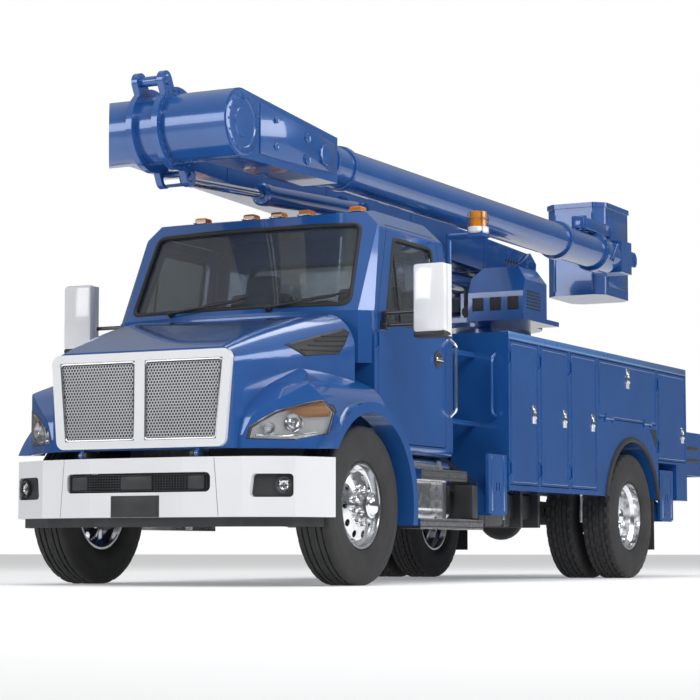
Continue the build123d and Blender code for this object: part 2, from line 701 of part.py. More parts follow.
def tanks_and_steps():
    """Fuel tank with two step boards under each door."""
    tank_y = 1020
    shape = outline([(560, 440), (tank_y, 440), (tank_y, 890), (560, 890)], radius=90)
    tank = cross_prism(shape, -1620, -820)
    for x in (-980, -1460):
        tank += block(x - 35, x + 35, RAIL_Y, 600, 760, 850)
    steps = block(-1520, -760, tank_y + 30, 1200, 720, 795)
    steps += block(-1780, -720, tank_y + 30, 1210, 380, 450)
    for x in (-860, -1420):
        steps += block(x - 30, x + 30, tank_y + FIT, tank_y + 45, 385, 790)
    keep("tanks_and_steps", Compound([tank, mirrored(tank), steps, mirrored(steps)]))


# Compartments of one bank: name, front edge, rear edge, floor, whether its door folds down
COMPARTMENTS = (
    ("first", -2270, -2815, 720, False),
    ("second", -2865, -3445, 720, False),
    ("third", -3495, -4060, 720, False),
    ("over_wheel", -4110, -5510, 1320, True),
    ("rear", -5560, -6300, 1020, False),
)
COMPARTMENT_TOP = BODY_TOP - 60


def fold_hinge(x0, x1, face_y, z):
    """Barrel hinge along the bottom of a fold-down door: the door's half, then the fixed half."""
    y = face_y + HINGE_R + FIT
    leaf = 36
    moving = bar_x(y, z, HINGE_R, x0, x1) + block(x0, x1, face_y - 4, y, z, z + leaf)
    fixed = []
    for low, high in ((x0 - FIT - 20, x0 - FIT), (x1 + FIT, x1 + FIT + 20)):
        fixed.append(bar_x(y, z, HINGE_R, low, high) + block(low, high, face_y - 4, y, z - leaf, z))
    return moving, fixed


def service_body():
    """Two banks of compartments with their doors, and the deck between them."""
    inner_y = HALF_WIDTH - BANK_DEPTH
    arch = bar_y(REAR_AXLE_X, TYRE_R, BODY_ARCH_R, 560, HALF_WIDTH + 20)
    leg_bay = block(REAR_LEG_X - 240, REAR_LEG_X + 240, 0, HALF_WIDTH + 20, 0, 1000)
    bank = block(BODY_REAR, BODY_FRONT, inner_y, HALF_WIDTH, BODY_BOTTOM, BODY_TOP) - arch - leg_bay
    doors = []
    for name, x0, x1, floor, folds in COMPARTMENTS:
        bank -= block(x1, x0, inner_y + BODY_WALL, HALF_WIDTH + 1, floor, COMPARTMENT_TOP)
        front = x0 - GAP
        rear = x1 + GAP
        low = floor + GAP
        high = COMPARTMENT_TOP - GAP
        door = block(rear, front, HALF_WIDTH - DOOR_T, HALF_WIDTH, low, high)
        if folds:
            spans = [(rear + 150, rear + 300), (front - 300, front - 150)]
            hinges = [fold_hinge(a, b, HALF_WIDTH, low) for a, b in spans]
        else:
            spans = [(low + 80, low + 160), (high - 160, high - 80)]
            hinges = [upright_hinge(front, HALF_WIDTH, a, b) for a, b in spans]
        for moving, fixed in hinges:
            door += moving
            for half in fixed:
                bank += half
        doors.append((name, door))
    for side, place in (("left", lambda s: s), ("right", mirrored)):
        keep("body_bank_" + side, place(bank))
        for name, door in doors:
            keep("body_door_" + name + "_" + side, place(door))

    deck_top = RAIL_TOP + DECK_T
    deck = block(BODY_REAR, BODY_FRONT, -inner_y, inner_y, RAIL_TOP, deck_top)
    house = block(REAR_AXLE_X - 660, REAR_AXLE_X + 660, 575, inner_y, RAIL_TOP, TYRE_R + BODY_ARCH_R + 25)
    deck += house + mirrored(house)
    deck -= arch + mirrored(arch)
    deck -= block(REAR_LEG_X - 240, REAR_LEG_X + 240, -inner_y - 1, inner_y + 1, 0, BODY_TOP)
    hole = PEDESTAL_HALF + GAP
    deck -= block(TURRET_X - hole, TURRET_X + hole, -hole, hole, RAIL_TOP - 1, deck_top + 1)
    deck += block(BODY_FRONT - 30, BODY_FRONT, -inner_y, inner_y, RAIL_TOP, BODY_TOP)
    shelf = block(SHELF_REAR, BODY_REAR, -1150, 1150, 920, 1320)
    shelf -= block(SHELF_REAR + 30, BODY_REAR + 1, -1120, 1120, 900, 1290)
    for y in (-RAIL_Y + 40, RAIL_Y - 40):
        shelf += block(RAIL_REAR, BODY_REAR, y - 40, y + 40, RAIL_TOP, 1300)
    step = block(SHELF_REAR - 10, SHELF_REAR + 90, -420, 420, 690, 720)
    for y in (-400, 380):
        step += block(SHELF_REAR + 10, SHELF_REAR + 40, y, y + 20, 700, 930)
    post = bar_z(POST_X, POST_Y, POST_R, 1100, BEACON_Z)
    for z in (1180, 1700):
        post += bar_x(POST_Y, z, POST_R, BODY_FRONT, POST_X)
    post += bar_y(POST_X, BEACON_Z - POST_R, POST_R, POST_Y, BEACON_Y)
    shelf_z = BEACON_Z - 2 * POST_R
    post += block(POST_X - POST_R, BEACON_X + 60, BEACON_Y - 60, BEACON_Y + 60, shelf_z, BEACON_Z)
    keep("deck", Compound([deck + shelf + step, post]))


def sloped(shape):
    """Carry a piece drawn along +Y with its end at the origin to the left leg's slope and place."""
    return Pos(0, LEG_END_Y, LEG_END_Z) * Rot(-LEG_SLOPE, 0, 0) * shape


def outriggers():
    """Crossed outrigger boxes and the four sliding legs."""
    tube = LEG_BOX - 2 * LEG_WALL
    pairs = []
    for station, leg_x in (("front", FRONT_LEG_X), ("rear", REAR_LEG_X)):
        offset_x = LEG_BOX / 2 + 3
        saddle = block(leg_x - 150, leg_x + 150, RAIL_Y - 90, RAIL_Y, RAIL_TOP, RAIL_TOP + 110)
        boxes = saddle + mirrored(saddle)
        left = Pos(leg_x + offset_x, 0, 0)
        right = Pos(leg_x - offset_x, 0, 0)
        box = sloped(block(-LEG_BOX / 2, LEG_BOX / 2, -1480, -150, -LEG_BOX / 2, LEG_BOX / 2))
        bore = sloped(block(-tube / 2, tube / 2, -1500, 20, -tube / 2, tube / 2))
        boxes += left * box
        boxes += right * mirrored(box)
        boxes -= left * bore
        boxes -= right * mirrored(bore)
        pairs.append(boxes)
        slide = tube / 2 - FIT
        stick = sloped(block(-slide, slide, -1400, 60, -slide, slide))
        stick &= block(-500, 500, -2000, GUARD_Y + 1, 0, 3000)
        for side, at, turn in (("left", offset_x, lambda s: s), ("right", -offset_x, mirrored)):
            face = GUARD_Y + GUARD_T
            half = GUARD_W / 2
            guard = block(-at - half, -at + half, GUARD_Y, face, GUARD_Z, GUARD_Z + GUARD_H)
            for dx in (-25, 25):
                slot_x = dx - at
                guard -= block(slot_x - 8, slot_x + 8, GUARD_Y - 1, face + 1, GUARD_Z + 170, GUARD_Z + 230)
            foot = block(-at - 130, -at + 130, GUARD_Y - 140, face, GUARD_Z - 12, GUARD_Z + 14)
            shin = block(-slide, slide, GUARD_Y - 120, GUARD_Y + 1, GUARD_Z, LEG_END_Z)
            leg = Pos(leg_x + at, 0, 0) * (stick + guard + foot + shin)
            keep("leg_" + station + "_" + side, turn(leg))
    keep("outrigger_boxes", Compound(pairs))


def lug_outline(angle, half_width):
    """Side outline of an ear standing out from the elbow's ring at an angle, with a round end."""
    a = math.radians(angle)
    bar = Pos(LUG_R / 2 + 60, 0) * Rectangle(LUG_R - 120, 2 * half_width)
    arm = Pos(ELBOW_X, ELBOW_Z) * Rot(0, 0, angle) * bar
    end = Pos(ELBOW_X + LUG_R * math.cos(a), ELBOW_Z + LUG_R * math.sin(a)) * Circle(half_width)
    return arm + end


def pedestal_and_turret():
    """Pedestal on the rails, and the turret that carries the lower boom's pivot and the control cowl."""
    half = PEDESTAL_HALF
    stand = block(TURRET_X - half, TURRET_X + half, -half, half, RAIL_TOP, RAIL_TOP + 25)
    stand += bar_z(TURRET_X, 0, half - 90, RAIL_TOP, TURNTABLE_Z - FIT)
    rib_in = half - 100
    rib_out = half - 10
    foot = RAIL_TOP
    rib = outline([(rib_in, foot), (rib_out, foot), (rib_out, foot + 100), (rib_in, foot + 540)])
    for turn in range(0, 360, 90):
        stand += Pos(TURRET_X, 0, 0) * Rot(0, 0, turn) * side_prism(rib, -12, 12)
    keep("pedestal", stand)

    top = TURNTABLE_Z + 40
    turret = bar_z(TURRET_X, 0, TURNTABLE_R, TURNTABLE_Z, top)
    cheek_in = LOWER_W / 2 + 8
    cheek_out = cheek_in + 30
    turret += block(TURRET_X - 430, TURRET_X + 430, LOWER_Y - cheek_out, 260, top, top + 40)
    cheek = outline(
        [
            (TURRET_X + 350, top), (TURRET_X - 400, top), (BOOM_PIVOT_X - 110, BOOM_PIVOT_Z - 130),
            (BOOM_PIVOT_X - 140, BOOM_PIVOT_Z + 60), (BOOM_PIVOT_X, BOOM_PIVOT_Z + 150),
            (BOOM_PIVOT_X + 150, BOOM_PIVOT_Z + 60), (TURRET_X - 150, top + 420), (TURRET_X + 350, top + 260),
        ]
    )
    for y0, y1 in ((cheek_in, cheek_out), (-cheek_out, -cheek_in)):
        turret += side_prism(cheek, LOWER_Y + y0, LOWER_Y + y1)
    tie = (LOWER_Y - cheek_in, LOWER_Y + cheek_in)
    turret += block(TURRET_X - 700, TURRET_X - 400, *tie, top + 150, top + 190)
    ear = outline(
        [
            (LIFT_EYE_X + 110, top + 150), (LIFT_EYE_X - 60, top + 150), (LIFT_EYE_X - 70, LIFT_Z + 60),
            (LIFT_EYE_X + 70, LIFT_Z + 60),
        ]
    )
    for y in (-LIFT_EAR_Y - 20, LIFT_EAR_Y):
        turret += side_prism(ear, LOWER_Y + y, LOWER_Y + y + 20)
    turret += bar_y(BOOM_PIVOT_X, BOOM_PIVOT_Z, BOOM_PIN_R, LOWER_Y - cheek_out, LOWER_Y + cheek_out)
    turret += block(TURRET_X + 50, TURRET_X + 830, 120, 640, top - 40, top)
    cowl_top = top + 420
    cowl_face = [(130, top), (630, top), (630, top + 300), (540, cowl_top), (220, cowl_top), (130, top + 330)]
    cowl = cross_prism(outline(cowl_face), TURRET_X + 300, TURRET_X + 820)
    nose = outline([(TURRET_X + 300, top), (TURRET_X + 820, top), (TURRET_X + 820, top + 200),
                    (TURRET_X + 700, top + 420), (TURRET_X + 300, top + 420)])
    turret += cowl & side_prism(nose, 100, 700)
    keep("turret", turret)


def lower_boom():
    """Hollow box beam from the turret's pin to the elbow, with brackets for both cylinders."""
    rise = math.degrees(math.atan2(ELBOW_Z - BOOM_PIVOT_Z, ELBOW_X - BOOM_PIVOT_X))
    length = math.hypot(ELBOW_Z - BOOM_PIVOT_Z, ELBOW_X - BOOM_PIVOT_X)
    half_w = LOWER_W / 2
    half_h = LOWER_H / 2
    beam = block(0, length, -half_w, half_w, -half_h, half_h)
    bore_w = half_w - BOOM_WALL
    bore_h = half_h - BOOM_WALL
    beam -= block(280, length - 280, -bore_w, bore_w, -bore_h, bore_h)
    beam += bar_y(0, 0, half_h, -half_w, half_w)
    beam = Pos(BOOM_PIVOT_X, LOWER_Y, BOOM_PIVOT_Z) * Rot(0, -rise, 0) * beam
    face_y = LOWER_Y + half_w
    beam += bar_y(ELBOW_X, ELBOW_Z, ELBOW_R - 12, LOWER_Y - half_w, face_y)
    far_y = LOWER_Y - half_w - 1
    mitre = outline([(ELBOW_X - 60, far_y), (ELBOW_X + 300, far_y), (ELBOW_X + 300, LOWER_Y + 60)])
    beam -= plan_prism(mitre, ELBOW_Z - 300, ELBOW_Z + 300)
    beam += bar_y(ELBOW_X, ELBOW_Z, ELBOW_PIN_R, LOWER_Y, UPPER_Y - 150)
    beam -= bar_y(BOOM_PIVOT_X, BOOM_PIVOT_Z, BOOM_PIN_R + FIT, LOWER_Y - 300, LOWER_Y + 300)

    # Pin that carries the elbow cylinder, standing out of the beam's left face
    seat_y = RAM_Y - RAM_D / 2 - FIT
    beam += block(RAM_BASE_X - 70, RAM_BASE_X + 70, face_y - 1, seat_y, RAM_Z - 60, RAM_Z + 60)
    beam += bar_y(RAM_BASE_X, RAM_Z, 26, face_y, RAM_Y + RAM_D / 2)

    # Ears and pin that carry the lift cylinder under the beam
    under = BOOM_PIVOT_Z + (LIFT_BASE_X - BOOM_PIVOT_X) * math.tan(math.radians(rise)) - half_h
    ear = outline(
        [
            (LIFT_BASE_X - 90, under + 8), (LIFT_BASE_X + 90, under + 8), (LIFT_BASE_X + 60, LIFT_Z - 60),
            (LIFT_BASE_X - 60, LIFT_Z - 60),
        ]
    )
    for y in (-LIFT_D / 2 - 26, LIFT_D / 2 + 6):
        beam += side_prism(ear, LOWER_Y + y, LOWER_Y + y + 20)
    beam += bar_y(LIFT_BASE_X, LIFT_Z, 32, LOWER_Y - LIFT_D / 2 - 26, LOWER_Y + LIFT_D / 2 + 26)
    keep("lower_boom", beam)


def cylinder_pair(base, eye, y, closed, barrel_d, rod_d, stroke, pin_r, eye_w):
    """Hydraulic barrel, closed long, and its rod, from a base pin to an eye, both given as (x, z)."""
    reach = eye[0] - base[0]
    way = 1 if reach > 0 else -1
    length = abs(reach)
    inside = closed - 90
    tilt = math.degrees(math.atan2(eye[1] - base[1], way * reach))
    place = Pos(base[0], y, base[1]) * Rot(0, -tilt if way > 0 else 180 + tilt, 0)
    barrel = bar_x(0, 0, barrel_d / 2, 60, closed)
    barrel += bar_y(0, 0, 62, -eye_w / 2, eye_w / 2) + block(0, 90, -eye_w / 2, eye_w / 2, -50, 50)
    barrel -= bar_y(0, 0, pin_r + FIT, -eye_w, eye_w)
    barrel -= bar_x(0, 0, rod_d / 2 + FIT, closed - inside, closed + 1)
    rod = bar_x(0, 0, rod_d / 2, closed - inside + stroke, length - 40)
    rod_eye = bar_y(length, 0, 55, -eye_w / 2 + 12, eye_w / 2 - 12)
    rod += rod_eye - bar_y(length, 0, pin_r + FIT, -eye_w, eye_w)
    return place * barrel, place * rod


def cylinders():
    """Lift cylinder under the lower boom and elbow cylinder on its left face."""
    barrel, rod = cylinder_pair(
        (LIFT_BASE_X, LIFT_Z), (LIFT_EYE_X, LIFT_Z), LOWER_Y, LIFT_BARREL, LIFT_D, LIFT_ROD_D, 0, 32,
        LIFT_D - 4,
    )
    keep("lift_barrel", barrel)
    keep("lift_rod", rod)
    a = math.radians(180 + LUG_ANGLE)
    lug = (ELBOW_X + LUG_R * math.cos(a), ELBOW_Z + LUG_R * math.sin(a))
    barrel, rod = cylinder_pair(
        (RAM_BASE_X, RAM_Z), lug, RAM_Y, RAM_BARREL, RAM_D, RAM_ROD_D, RAM_STROKE, 26, RAM_D - 4
    )
    keep("elbow_barrel", barrel)
    keep("elbow_rod", rod)


def upper_boom():
    """Elbow hub with its lugged ring, tapering root, round tube and the tip that carries the bucket's pin."""
    hub = bar_y(ELBOW_X, ELBOW_Z, ELBOW_R, RING_Y0, UPPER_Y + UPPER_D / 2)
    flange = 45
    for y0 in (RING_Y0, RING_Y1 - flange):
        ring = Pos(ELBOW_X, ELBOW_Z) * Circle(ELBOW_R + 50)
        ring += lug_outline(LUG_ANGLE, 62) + lug_outline(180 + LUG_ANGLE, 62)
        hub += side_prism(ring, y0, y0 + flange)
    tube_r = UPPER_D / 2
    tube_start = ELBOW_X - 1350
    root = outline(
        [
            (ELBOW_X, ELBOW_Z - ELBOW_R), (ELBOW_X, ELBOW_Z + ELBOW_R), (tube_start, UPPER_Z + tube_r + 12),
            (tube_start, UPPER_Z - tube_r - 12),
        ]
    )
    hub += side_prism(root, UPPER_Y - tube_r, UPPER_Y + tube_r)
    boom = hub + bar_x(UPPER_Y, UPPER_Z, tube_r, TIP_X + 340, tube_start + 1)
    boom -= bar_x(UPPER_Y, UPPER_Z, tube_r - BOOM_WALL, TIP_X + 360, tube_start - 20)
    boom += bar_x(UPPER_Y, UPPER_Z, tube_r + 28, TIP_X + 700, TIP_X + 760)
    tip_sides = (UPPER_Y - tube_r, UPPER_Y + tube_r)
    boom += block(TIP_X + 80, TIP_X + 350, *tip_sides, UPPER_Z - tube_r, UPPER_Z + tube_r)
    for y in (-tube_r, tube_r - 28):
        boom += block(TIP_X, TIP_X + 90, UPPER_Y + y, UPPER_Y + y + 28, UPPER_Z - 70, UPPER_Z + 70)
        boom += bar_y(TIP_X, UPPER_Z, 70, UPPER_Y + y, UPPER_Y + y + 28)
    boom += bar_y(TIP_X, UPPER_Z, TIP_PIN_R, ARM_Y, UPPER_Y + tube_r)
    boom -= bar_y(ELBOW_X, ELBOW_Z, ELBOW_PIN_R + FIT, RING_Y0 - 1, UPPER_Y - 140)
    keep("upper_boom", boom)


def bucket():
    """Levelling wheel with its arm on the tip's pin, and the bucket on its trunnion at the arm's end."""
    link_x = (TIP_X + TRUNNION_X) / 2
    link_z = (UPPER_Z + TRUNNION_Z) / 2
    reach = math.hypot(TRUNNION_X - TIP_X, TRUNNION_Z - UPPER_Z)
    slope = math.degrees(math.atan2(TRUNNION_Z - UPPER_Z, TRUNNION_X - TIP_X))
    link = Pos(link_x, link_z) * Rot(0, 0, slope) * SlotCenterToCenter(reach, 150)
    wheel = bar_y(TIP_X, UPPER_Z, 110, ARM_Y, WHEEL_Y) + side_prism(link, ARM_Y, ARM_Y + ARM_T)
    wheel -= bar_y(TIP_X, UPPER_Z, TIP_PIN_R + FIT, ARM_Y - 1, WHEEL_Y + 1)
    wheel -= bar_y(TRUNNION_X, TRUNNION_Z, TRUNNION_R + FIT, ARM_Y - 1, WHEEL_Y + 1)
    keep("levelling_wheel", wheel)

    half = BUCKET_W / 2
    edge = 90
    plan = [
        (BUCKET_FRONT, BUCKET_Y - half + edge), (BUCKET_FRONT, BUCKET_Y + half - edge),
        (BUCKET_FRONT - edge, BUCKET_Y + half), (BUCKET_REAR + edge, BUCKET_Y + half),
        (BUCKET_REAR, BUCKET_Y + half - edge), (BUCKET_REAR, BUCKET_Y - half + edge),
        (BUCKET_REAR + edge, BUCKET_Y - half), (BUCKET_FRONT - edge, BUCKET_Y - half),
    ]
    tub = plan_prism(outline(plan, 40), BUCKET_BOTTOM, BUCKET_TOP)
    tub -= plan_prism(outline(plan, 40, BUCKET_WALL), BUCKET_BOTTOM + BUCKET_WALL, BUCKET_TOP + 1)
    lip = outline(plan, 40, -14) - outline(plan, 40, BUCKET_WALL)
    lip &= Pos(BUCKET_REAR + 2000, 0) * Rectangle(4000, 4000)
    tub += plan_prism(lip, BUCKET_TOP - 45, BUCKET_TOP)
    wall_y = BUCKET_Y + half
    cap_y = ARM_Y + ARM_T + FIT
    tub += bar_y(TRUNNION_X, TRUNNION_Z, 70, wall_y - 1, ARM_Y - FIT)
    tub += bar_y(TRUNNION_X, TRUNNION_Z, TRUNNION_R, wall_y, cap_y + 12)
    tub += bar_y(TRUNNION_X, TRUNNION_Z, TRUNNION_R + 20, cap_y, cap_y + 12)
    keep("bucket", tub)


def build():
    """Make every piece and write one file for each."""
    for make in (
        chassis, wheels, front_end, cab, tanks_and_steps, service_body, outriggers, pedestal_and_turret,
        lower_boom, cylinders, upper_boom, bucket,
    ):
        make()
    os.makedirs("parts", exist_ok=True)
    for name, shape in nodes.items():
        export_step(shape, os.path.join("parts", name + ".step"))


build()
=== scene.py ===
"""Looks of the cherry picker truck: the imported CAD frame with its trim, lamps, tread and fittings.

Places are given in metres from the front axle's centre line on the ground, as in the part's
source, and moved by SHIFT to the frame's own origin.
"""

import bpy
import bmesh
from math import atan2, cos, pi, radians, sin, sqrt
from mathutils import Matrix, Vector


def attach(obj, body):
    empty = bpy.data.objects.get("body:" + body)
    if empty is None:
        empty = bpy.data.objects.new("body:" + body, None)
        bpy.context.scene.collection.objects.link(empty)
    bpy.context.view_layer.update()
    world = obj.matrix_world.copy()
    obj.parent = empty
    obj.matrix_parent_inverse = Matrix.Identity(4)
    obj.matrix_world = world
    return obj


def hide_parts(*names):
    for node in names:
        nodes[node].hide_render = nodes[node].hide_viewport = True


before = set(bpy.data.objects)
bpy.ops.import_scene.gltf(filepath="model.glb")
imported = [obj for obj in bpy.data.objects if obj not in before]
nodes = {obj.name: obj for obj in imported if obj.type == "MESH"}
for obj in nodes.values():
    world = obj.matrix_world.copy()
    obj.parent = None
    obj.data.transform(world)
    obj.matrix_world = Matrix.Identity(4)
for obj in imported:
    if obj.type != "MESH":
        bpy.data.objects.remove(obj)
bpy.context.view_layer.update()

# Driving dimensions, repeated from the part's source
SHIFT = 3.39
TYRE_R = 0.525
REAR_AXLE_X = -4.9
FRONT_Y = 1.02
REAR_Y = 0.915
TWIN = 0.165
HALF_WIDTH = 1.22
HOOD_NOSE = 0.925
CAB_HALF = 1.03
BELT_Z = 1.86
BODY_FRONT = -2.24
BODY_REAR = -6.33
BODY_TOP = 1.87
ELBOW = (0.635, 3.02)
UPPER = (0.42, 2.98)
PIVOT = (-5.9, -0.33, 2.83)
TIP_PIN = (-6.8, 2.98)
TRUNNION = (-7.3825, 3.10)
SIDES = (("left", 1), ("right", -1))
FORE, LEFT, UP = (1, 0, 0), (0, 1, 0), (0, 0, 1)


def at(x, y, z):
    """A place given from the front axle, in the frame's own coordinates."""
    return Vector((x + SHIFT, y, z))


# Materials


def tree_of(name):
    """New node material with its tree, its shader and the object coordinates."""
    mat = bpy.data.materials.new(name)
    mat.use_nodes = True
    tree = mat.node_tree
    shader = tree.nodes["Principled BSDF"]
    coords = tree.nodes.new("ShaderNodeTexCoord").outputs["Object"]
    return mat, tree, shader, coords


def put(node, **values):
    """Set inputs of a node, with underscores for the spaces in their names."""
    for name, value in values.items():
        node.inputs[name.replace("_", " ")].default_value = value


def noise(tree, coords, scale, detail=4, stretch=None):
    """Noise factor over object coordinates, drawn out along an axis where stretch is given."""
    if stretch:
        mapping = tree.nodes.new("ShaderNodeMapping")
        put(mapping, Scale=stretch)
        tree.links.new(coords, mapping.inputs["Vector"])
        coords = mapping.outputs["Vector"]
    tex = tree.nodes.new("ShaderNodeTexNoise")
    put(tex, Scale=scale, Detail=detail)
    tree.links.new(coords, tex.inputs["Vector"])
    return tex.outputs["Fac"]


def ramp(tree, factor, stops):
    """Colour ramp over a factor: stops are (place, colour)."""
    node = tree.nodes.new("ShaderNodeValToRGB")
    elements = node.color_ramp.elements
    while len(elements) < len(stops):
        elements.new(0.5)
    for element, (place, colour) in zip(elements, stops):
        element.position = place
        element.color = (*colour, 1) if len(colour) == 3 else colour
    tree.links.new(factor, node.inputs["Fac"])
    return node.outputs["Color"]


def span(tree, factor, low, high):
    """A factor from 0 to 1 turned into a number from low to high."""
    node = tree.nodes.new("ShaderNodeMapRange")
    put(node, To_Min=low, To_Max=high)
    tree.links.new(factor, node.inputs["Value"])
    return node.outputs["Result"]


def surface(tree, shader, colour, rough):
    """Put a colour and a roughness on a shader."""
    tree.links.new(colour, shader.inputs["Base Color"])
    tree.links.new(rough, shader.inputs["Roughness"])


def bump(tree, shader, height, strength, distance):
    """Fine relief on a shader from a height factor."""
    node = tree.nodes.new("ShaderNodeBump")
    put(node, Strength=strength, Distance=distance)
    tree.links.new(height, node.inputs["Height"])
    tree.links.new(node.outputs["Normal"], shader.inputs["Normal"])


def paint(name, colour, shade, rough, coat=1.0, metal=0.0):
    """Sprayed paint: slow colour drift, dust in the roughness, orange peel in the relief."""
    mat, tree, shader, coords = tree_of(name)
    drift = ramp(tree, noise(tree, coords, 1.7), [(0.3, shade), (0.7, colour)])
    dust = noise(tree, coords, 9, 8)
    surface(tree, shader, drift, span(tree, dust, rough * 0.75, rough * 1.35))
    bump(tree, shader, noise(tree, coords, 260, 2), 0.05, 0.001)
    put(shader, Metallic=metal, Coat_Weight=coat, Coat_Roughness=0.04)
    return mat


def metal(name, colour, shade, rough, stretch=(1, 1, 1), relief=0.04):
    """Bright metal with drawn or polished grain."""
    mat, tree, shader, coords = tree_of(name)
    grain = noise(tree, coords, 30, 6, stretch)
    drift = ramp(tree, grain, [(0.3, shade), (0.7, colour)])
    surface(tree, shader, drift, span(tree, grain, rough * 0.7, rough * 1.4))
    bump(tree, shader, grain, relief, 0.0006)
    put(shader, Metallic=1.0)
    return mat


def plastic(name, colour, shade, rough, grain=420, relief=0.25):
    """Moulded plastic or rubber with a fine pebble."""
    mat, tree, shader, coords = tree_of(name)
    drift = ramp(tree, noise(tree, coords, 5, 6), [(0.3, shade), (0.7, colour)])
    pebble = noise(tree, coords, grain, 3)
    surface(tree, shader, drift, span(tree, pebble, rough * 0.85, rough * 1.15))
    bump(tree, shader, pebble, relief, 0.0008)
    return mat


def lens(name, colour, rough, clear, ribs=0):
    """Lamp lens or window glass, with moulded ribs where the lens has them."""
    mat, tree, shader, coords = tree_of(name)
    stain = ramp(tree, noise(tree, coords, 3), [(0.2, [c * 0.85 for c in colour]), (0.8, colour)])
    smear = noise(tree, coords, 14, 6)
    surface(tree, shader, stain, span(tree, smear, rough * 0.6, rough * 1.6))
    put(shader, Transmission_Weight=clear, IOR=1.45)
    if ribs:
        wave = tree.nodes.new("ShaderNodeTexWave")
        put(wave, Scale=ribs)
        tree.links.new(coords, wave.inputs["Vector"])
        bump(tree, shader, wave.outputs["Fac"], 0.3, 0.002)
    return mat


BLUE = paint("blue_paint", (0.015, 0.098, 0.34), (0.012, 0.080, 0.29), 0.22, metal=0.15)
# Lighter copy of the body blue for the top rails: a painted highlight where light falls on the top
# of the bank
RAIL_BLUE_PAINTED_HIGHLIGHT = paint("rail_blue_painted_highlight", (0.050, 0.17, 0.42), (0.042, 0.145, 0.37), 0.28)
BLACK_PAINT = paint("chassis_black", (0.020, 0.021, 0.023), (0.012, 0.012, 0.013), 0.45, coat=0.2)
WHITE = paint("white_trim", (0.80, 0.81, 0.83), (0.74, 0.75, 0.77), 0.18)
RUBBER = plastic("black_rubber", (0.022, 0.022, 0.023), (0.013, 0.013, 0.014), 0.62)
TYRE = plastic("tyre_rubber", (0.030, 0.030, 0.031), (0.017, 0.017, 0.018), 0.72,
               grain=180, relief=0.35)
DARK = plastic("dark_plastic", (0.030, 0.031, 0.034), (0.018, 0.018, 0.020), 0.48)
GREY = plastic("cab_trim", (0.11, 0.11, 0.115), (0.075, 0.075, 0.08), 0.6)
CLOTH = plastic("seat_cloth", (0.14, 0.14, 0.15), (0.08, 0.08, 0.09), 0.85, grain=700, relief=0.5)
ALLOY = metal("polished_alloy", (0.83, 0.84, 0.85), (0.66, 0.67, 0.69), 0.14, relief=0.02)
TREAD_PLATE = metal("step_alloy", (0.70, 0.71, 0.73), (0.52, 0.53, 0.55), 0.30, (1, 8, 8))
MESH = paint("bright_mesh", (0.66, 0.67, 0.69), (0.58, 0.59, 0.61), 0.30, metal=0.35)
LAMP_SILVER = metal("lamp_silver", (0.94, 0.94, 0.95), (0.84, 0.85, 0.86), 0.38, relief=0.01)
CHROME = metal("chrome", (0.88, 0.89, 0.90), (0.78, 0.79, 0.80), 0.06, relief=0.01)
STEEL = metal("cast_steel", (0.20, 0.20, 0.21), (0.10, 0.10, 0.105), 0.5, relief=0.2)
GLASS = lens("window_glass", (0.62, 0.67, 0.69), 0.02, 0.96)
CLEAR = lens("lamp_clear", (0.93, 0.94, 0.95), 0.03, 0.96)
AMBER = lens("amber_lens", (1.0, 0.38, 0.02), 0.10, 0.25, ribs=45)
MIRROR = metal("mirror_silver", (0.90, 0.91, 0.92), (0.86, 0.87, 0.88), 0.03, relief=0.0)


def two_tone(name, near, far, axis, edge, rough, clear=0.0):
    """One CAD node in two colours, parted at a distance from the middle along an axis."""
    mat, tree, shader, coords = tree_of(name)
    parts = tree.nodes.new("ShaderNodeSeparateXYZ")
    away = tree.nodes.new("ShaderNodeMath")
    away.operation = "ABSOLUTE"
    over = tree.nodes.new("ShaderNodeMath")
    over.operation = "GREATER_THAN"
    over.inputs[1].default_value = edge
    tree.links.new(coords, parts.inputs["Vector"])
    tree.links.new(parts.outputs[axis], away.inputs[0])
    tree.links.new(away.outputs[0], over.inputs[0])
    parted = ramp(tree, over.outputs[0], [(0.0, near), (1.0, far)])
    grain = noise(tree, coords, 60, 4)
    surface(tree, shader, parted, span(tree, grain, rough * 0.8, rough * 1.3))
    bump(tree, shader, grain, 0.05, 0.0006)
    put(shader, Transmission_Weight=clear, Coat_Weight=0.6)
    return mat


LAMPS = two_tone("amber_and_red_lens", (0.95, 0.33, 0.02), (0.50, 0.01, 0.01), "X", 2.7, 0.12, 0.3)
MIRROR_CASE = two_tone("mirror_case", (0.02, 0.02, 0.022), (0.80, 0.81, 0.83), "Y", 1.306, 0.22)

# CAD nodes that stay as they are take these materials; all the others are blue
DRESS = {
    BLACK_PAINT: ["frame", "leaf_springs", "front_axle", "rear_axle", "outrigger_boxes"],
    STEEL: ["powertrain", "knuckle_left", "knuckle_right"],
    ALLOY: ["rim_front_left", "rim_front_right", "rims_rear_left", "rims_rear_right",
            "tanks_and_steps"],
    WHITE: ["bumper", "grille"],
    MIRROR_CASE: ["mirror_left", "mirror_right"],
    DARK: ["valance"],
    GREY: ["cab_interior"],
    GLASS: ["cab_glass", "door_glass_left", "door_glass_right"],
    CLEAR: ["headlamps"],
    LAMPS: ["lamps"],
    CHROME: ["lift_rod", "elbow_rod"],
    TYRE: ["tyre_front_left", "tyre_front_right", "tyres_rear_left", "tyres_rear_right"],
}


def wear(obj, mat):
    """Give an object one material in every slot."""
    obj.data.materials.clear()
    obj.data.materials.append(mat)


for node in nodes.values():
    wear(node, BLUE)
for mat, names in DRESS.items():
    for name in names:
        wear(nodes[name], mat)

# Mesh helpers


def placed(name, data):
    """New object in the scene."""
    obj = bpy.data.objects.new(name, data)
    bpy.context.scene.collection.objects.link(obj)
    return obj


def riding(obj, body):
    """Put a piece on a body."""
    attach(obj, body)
    return obj


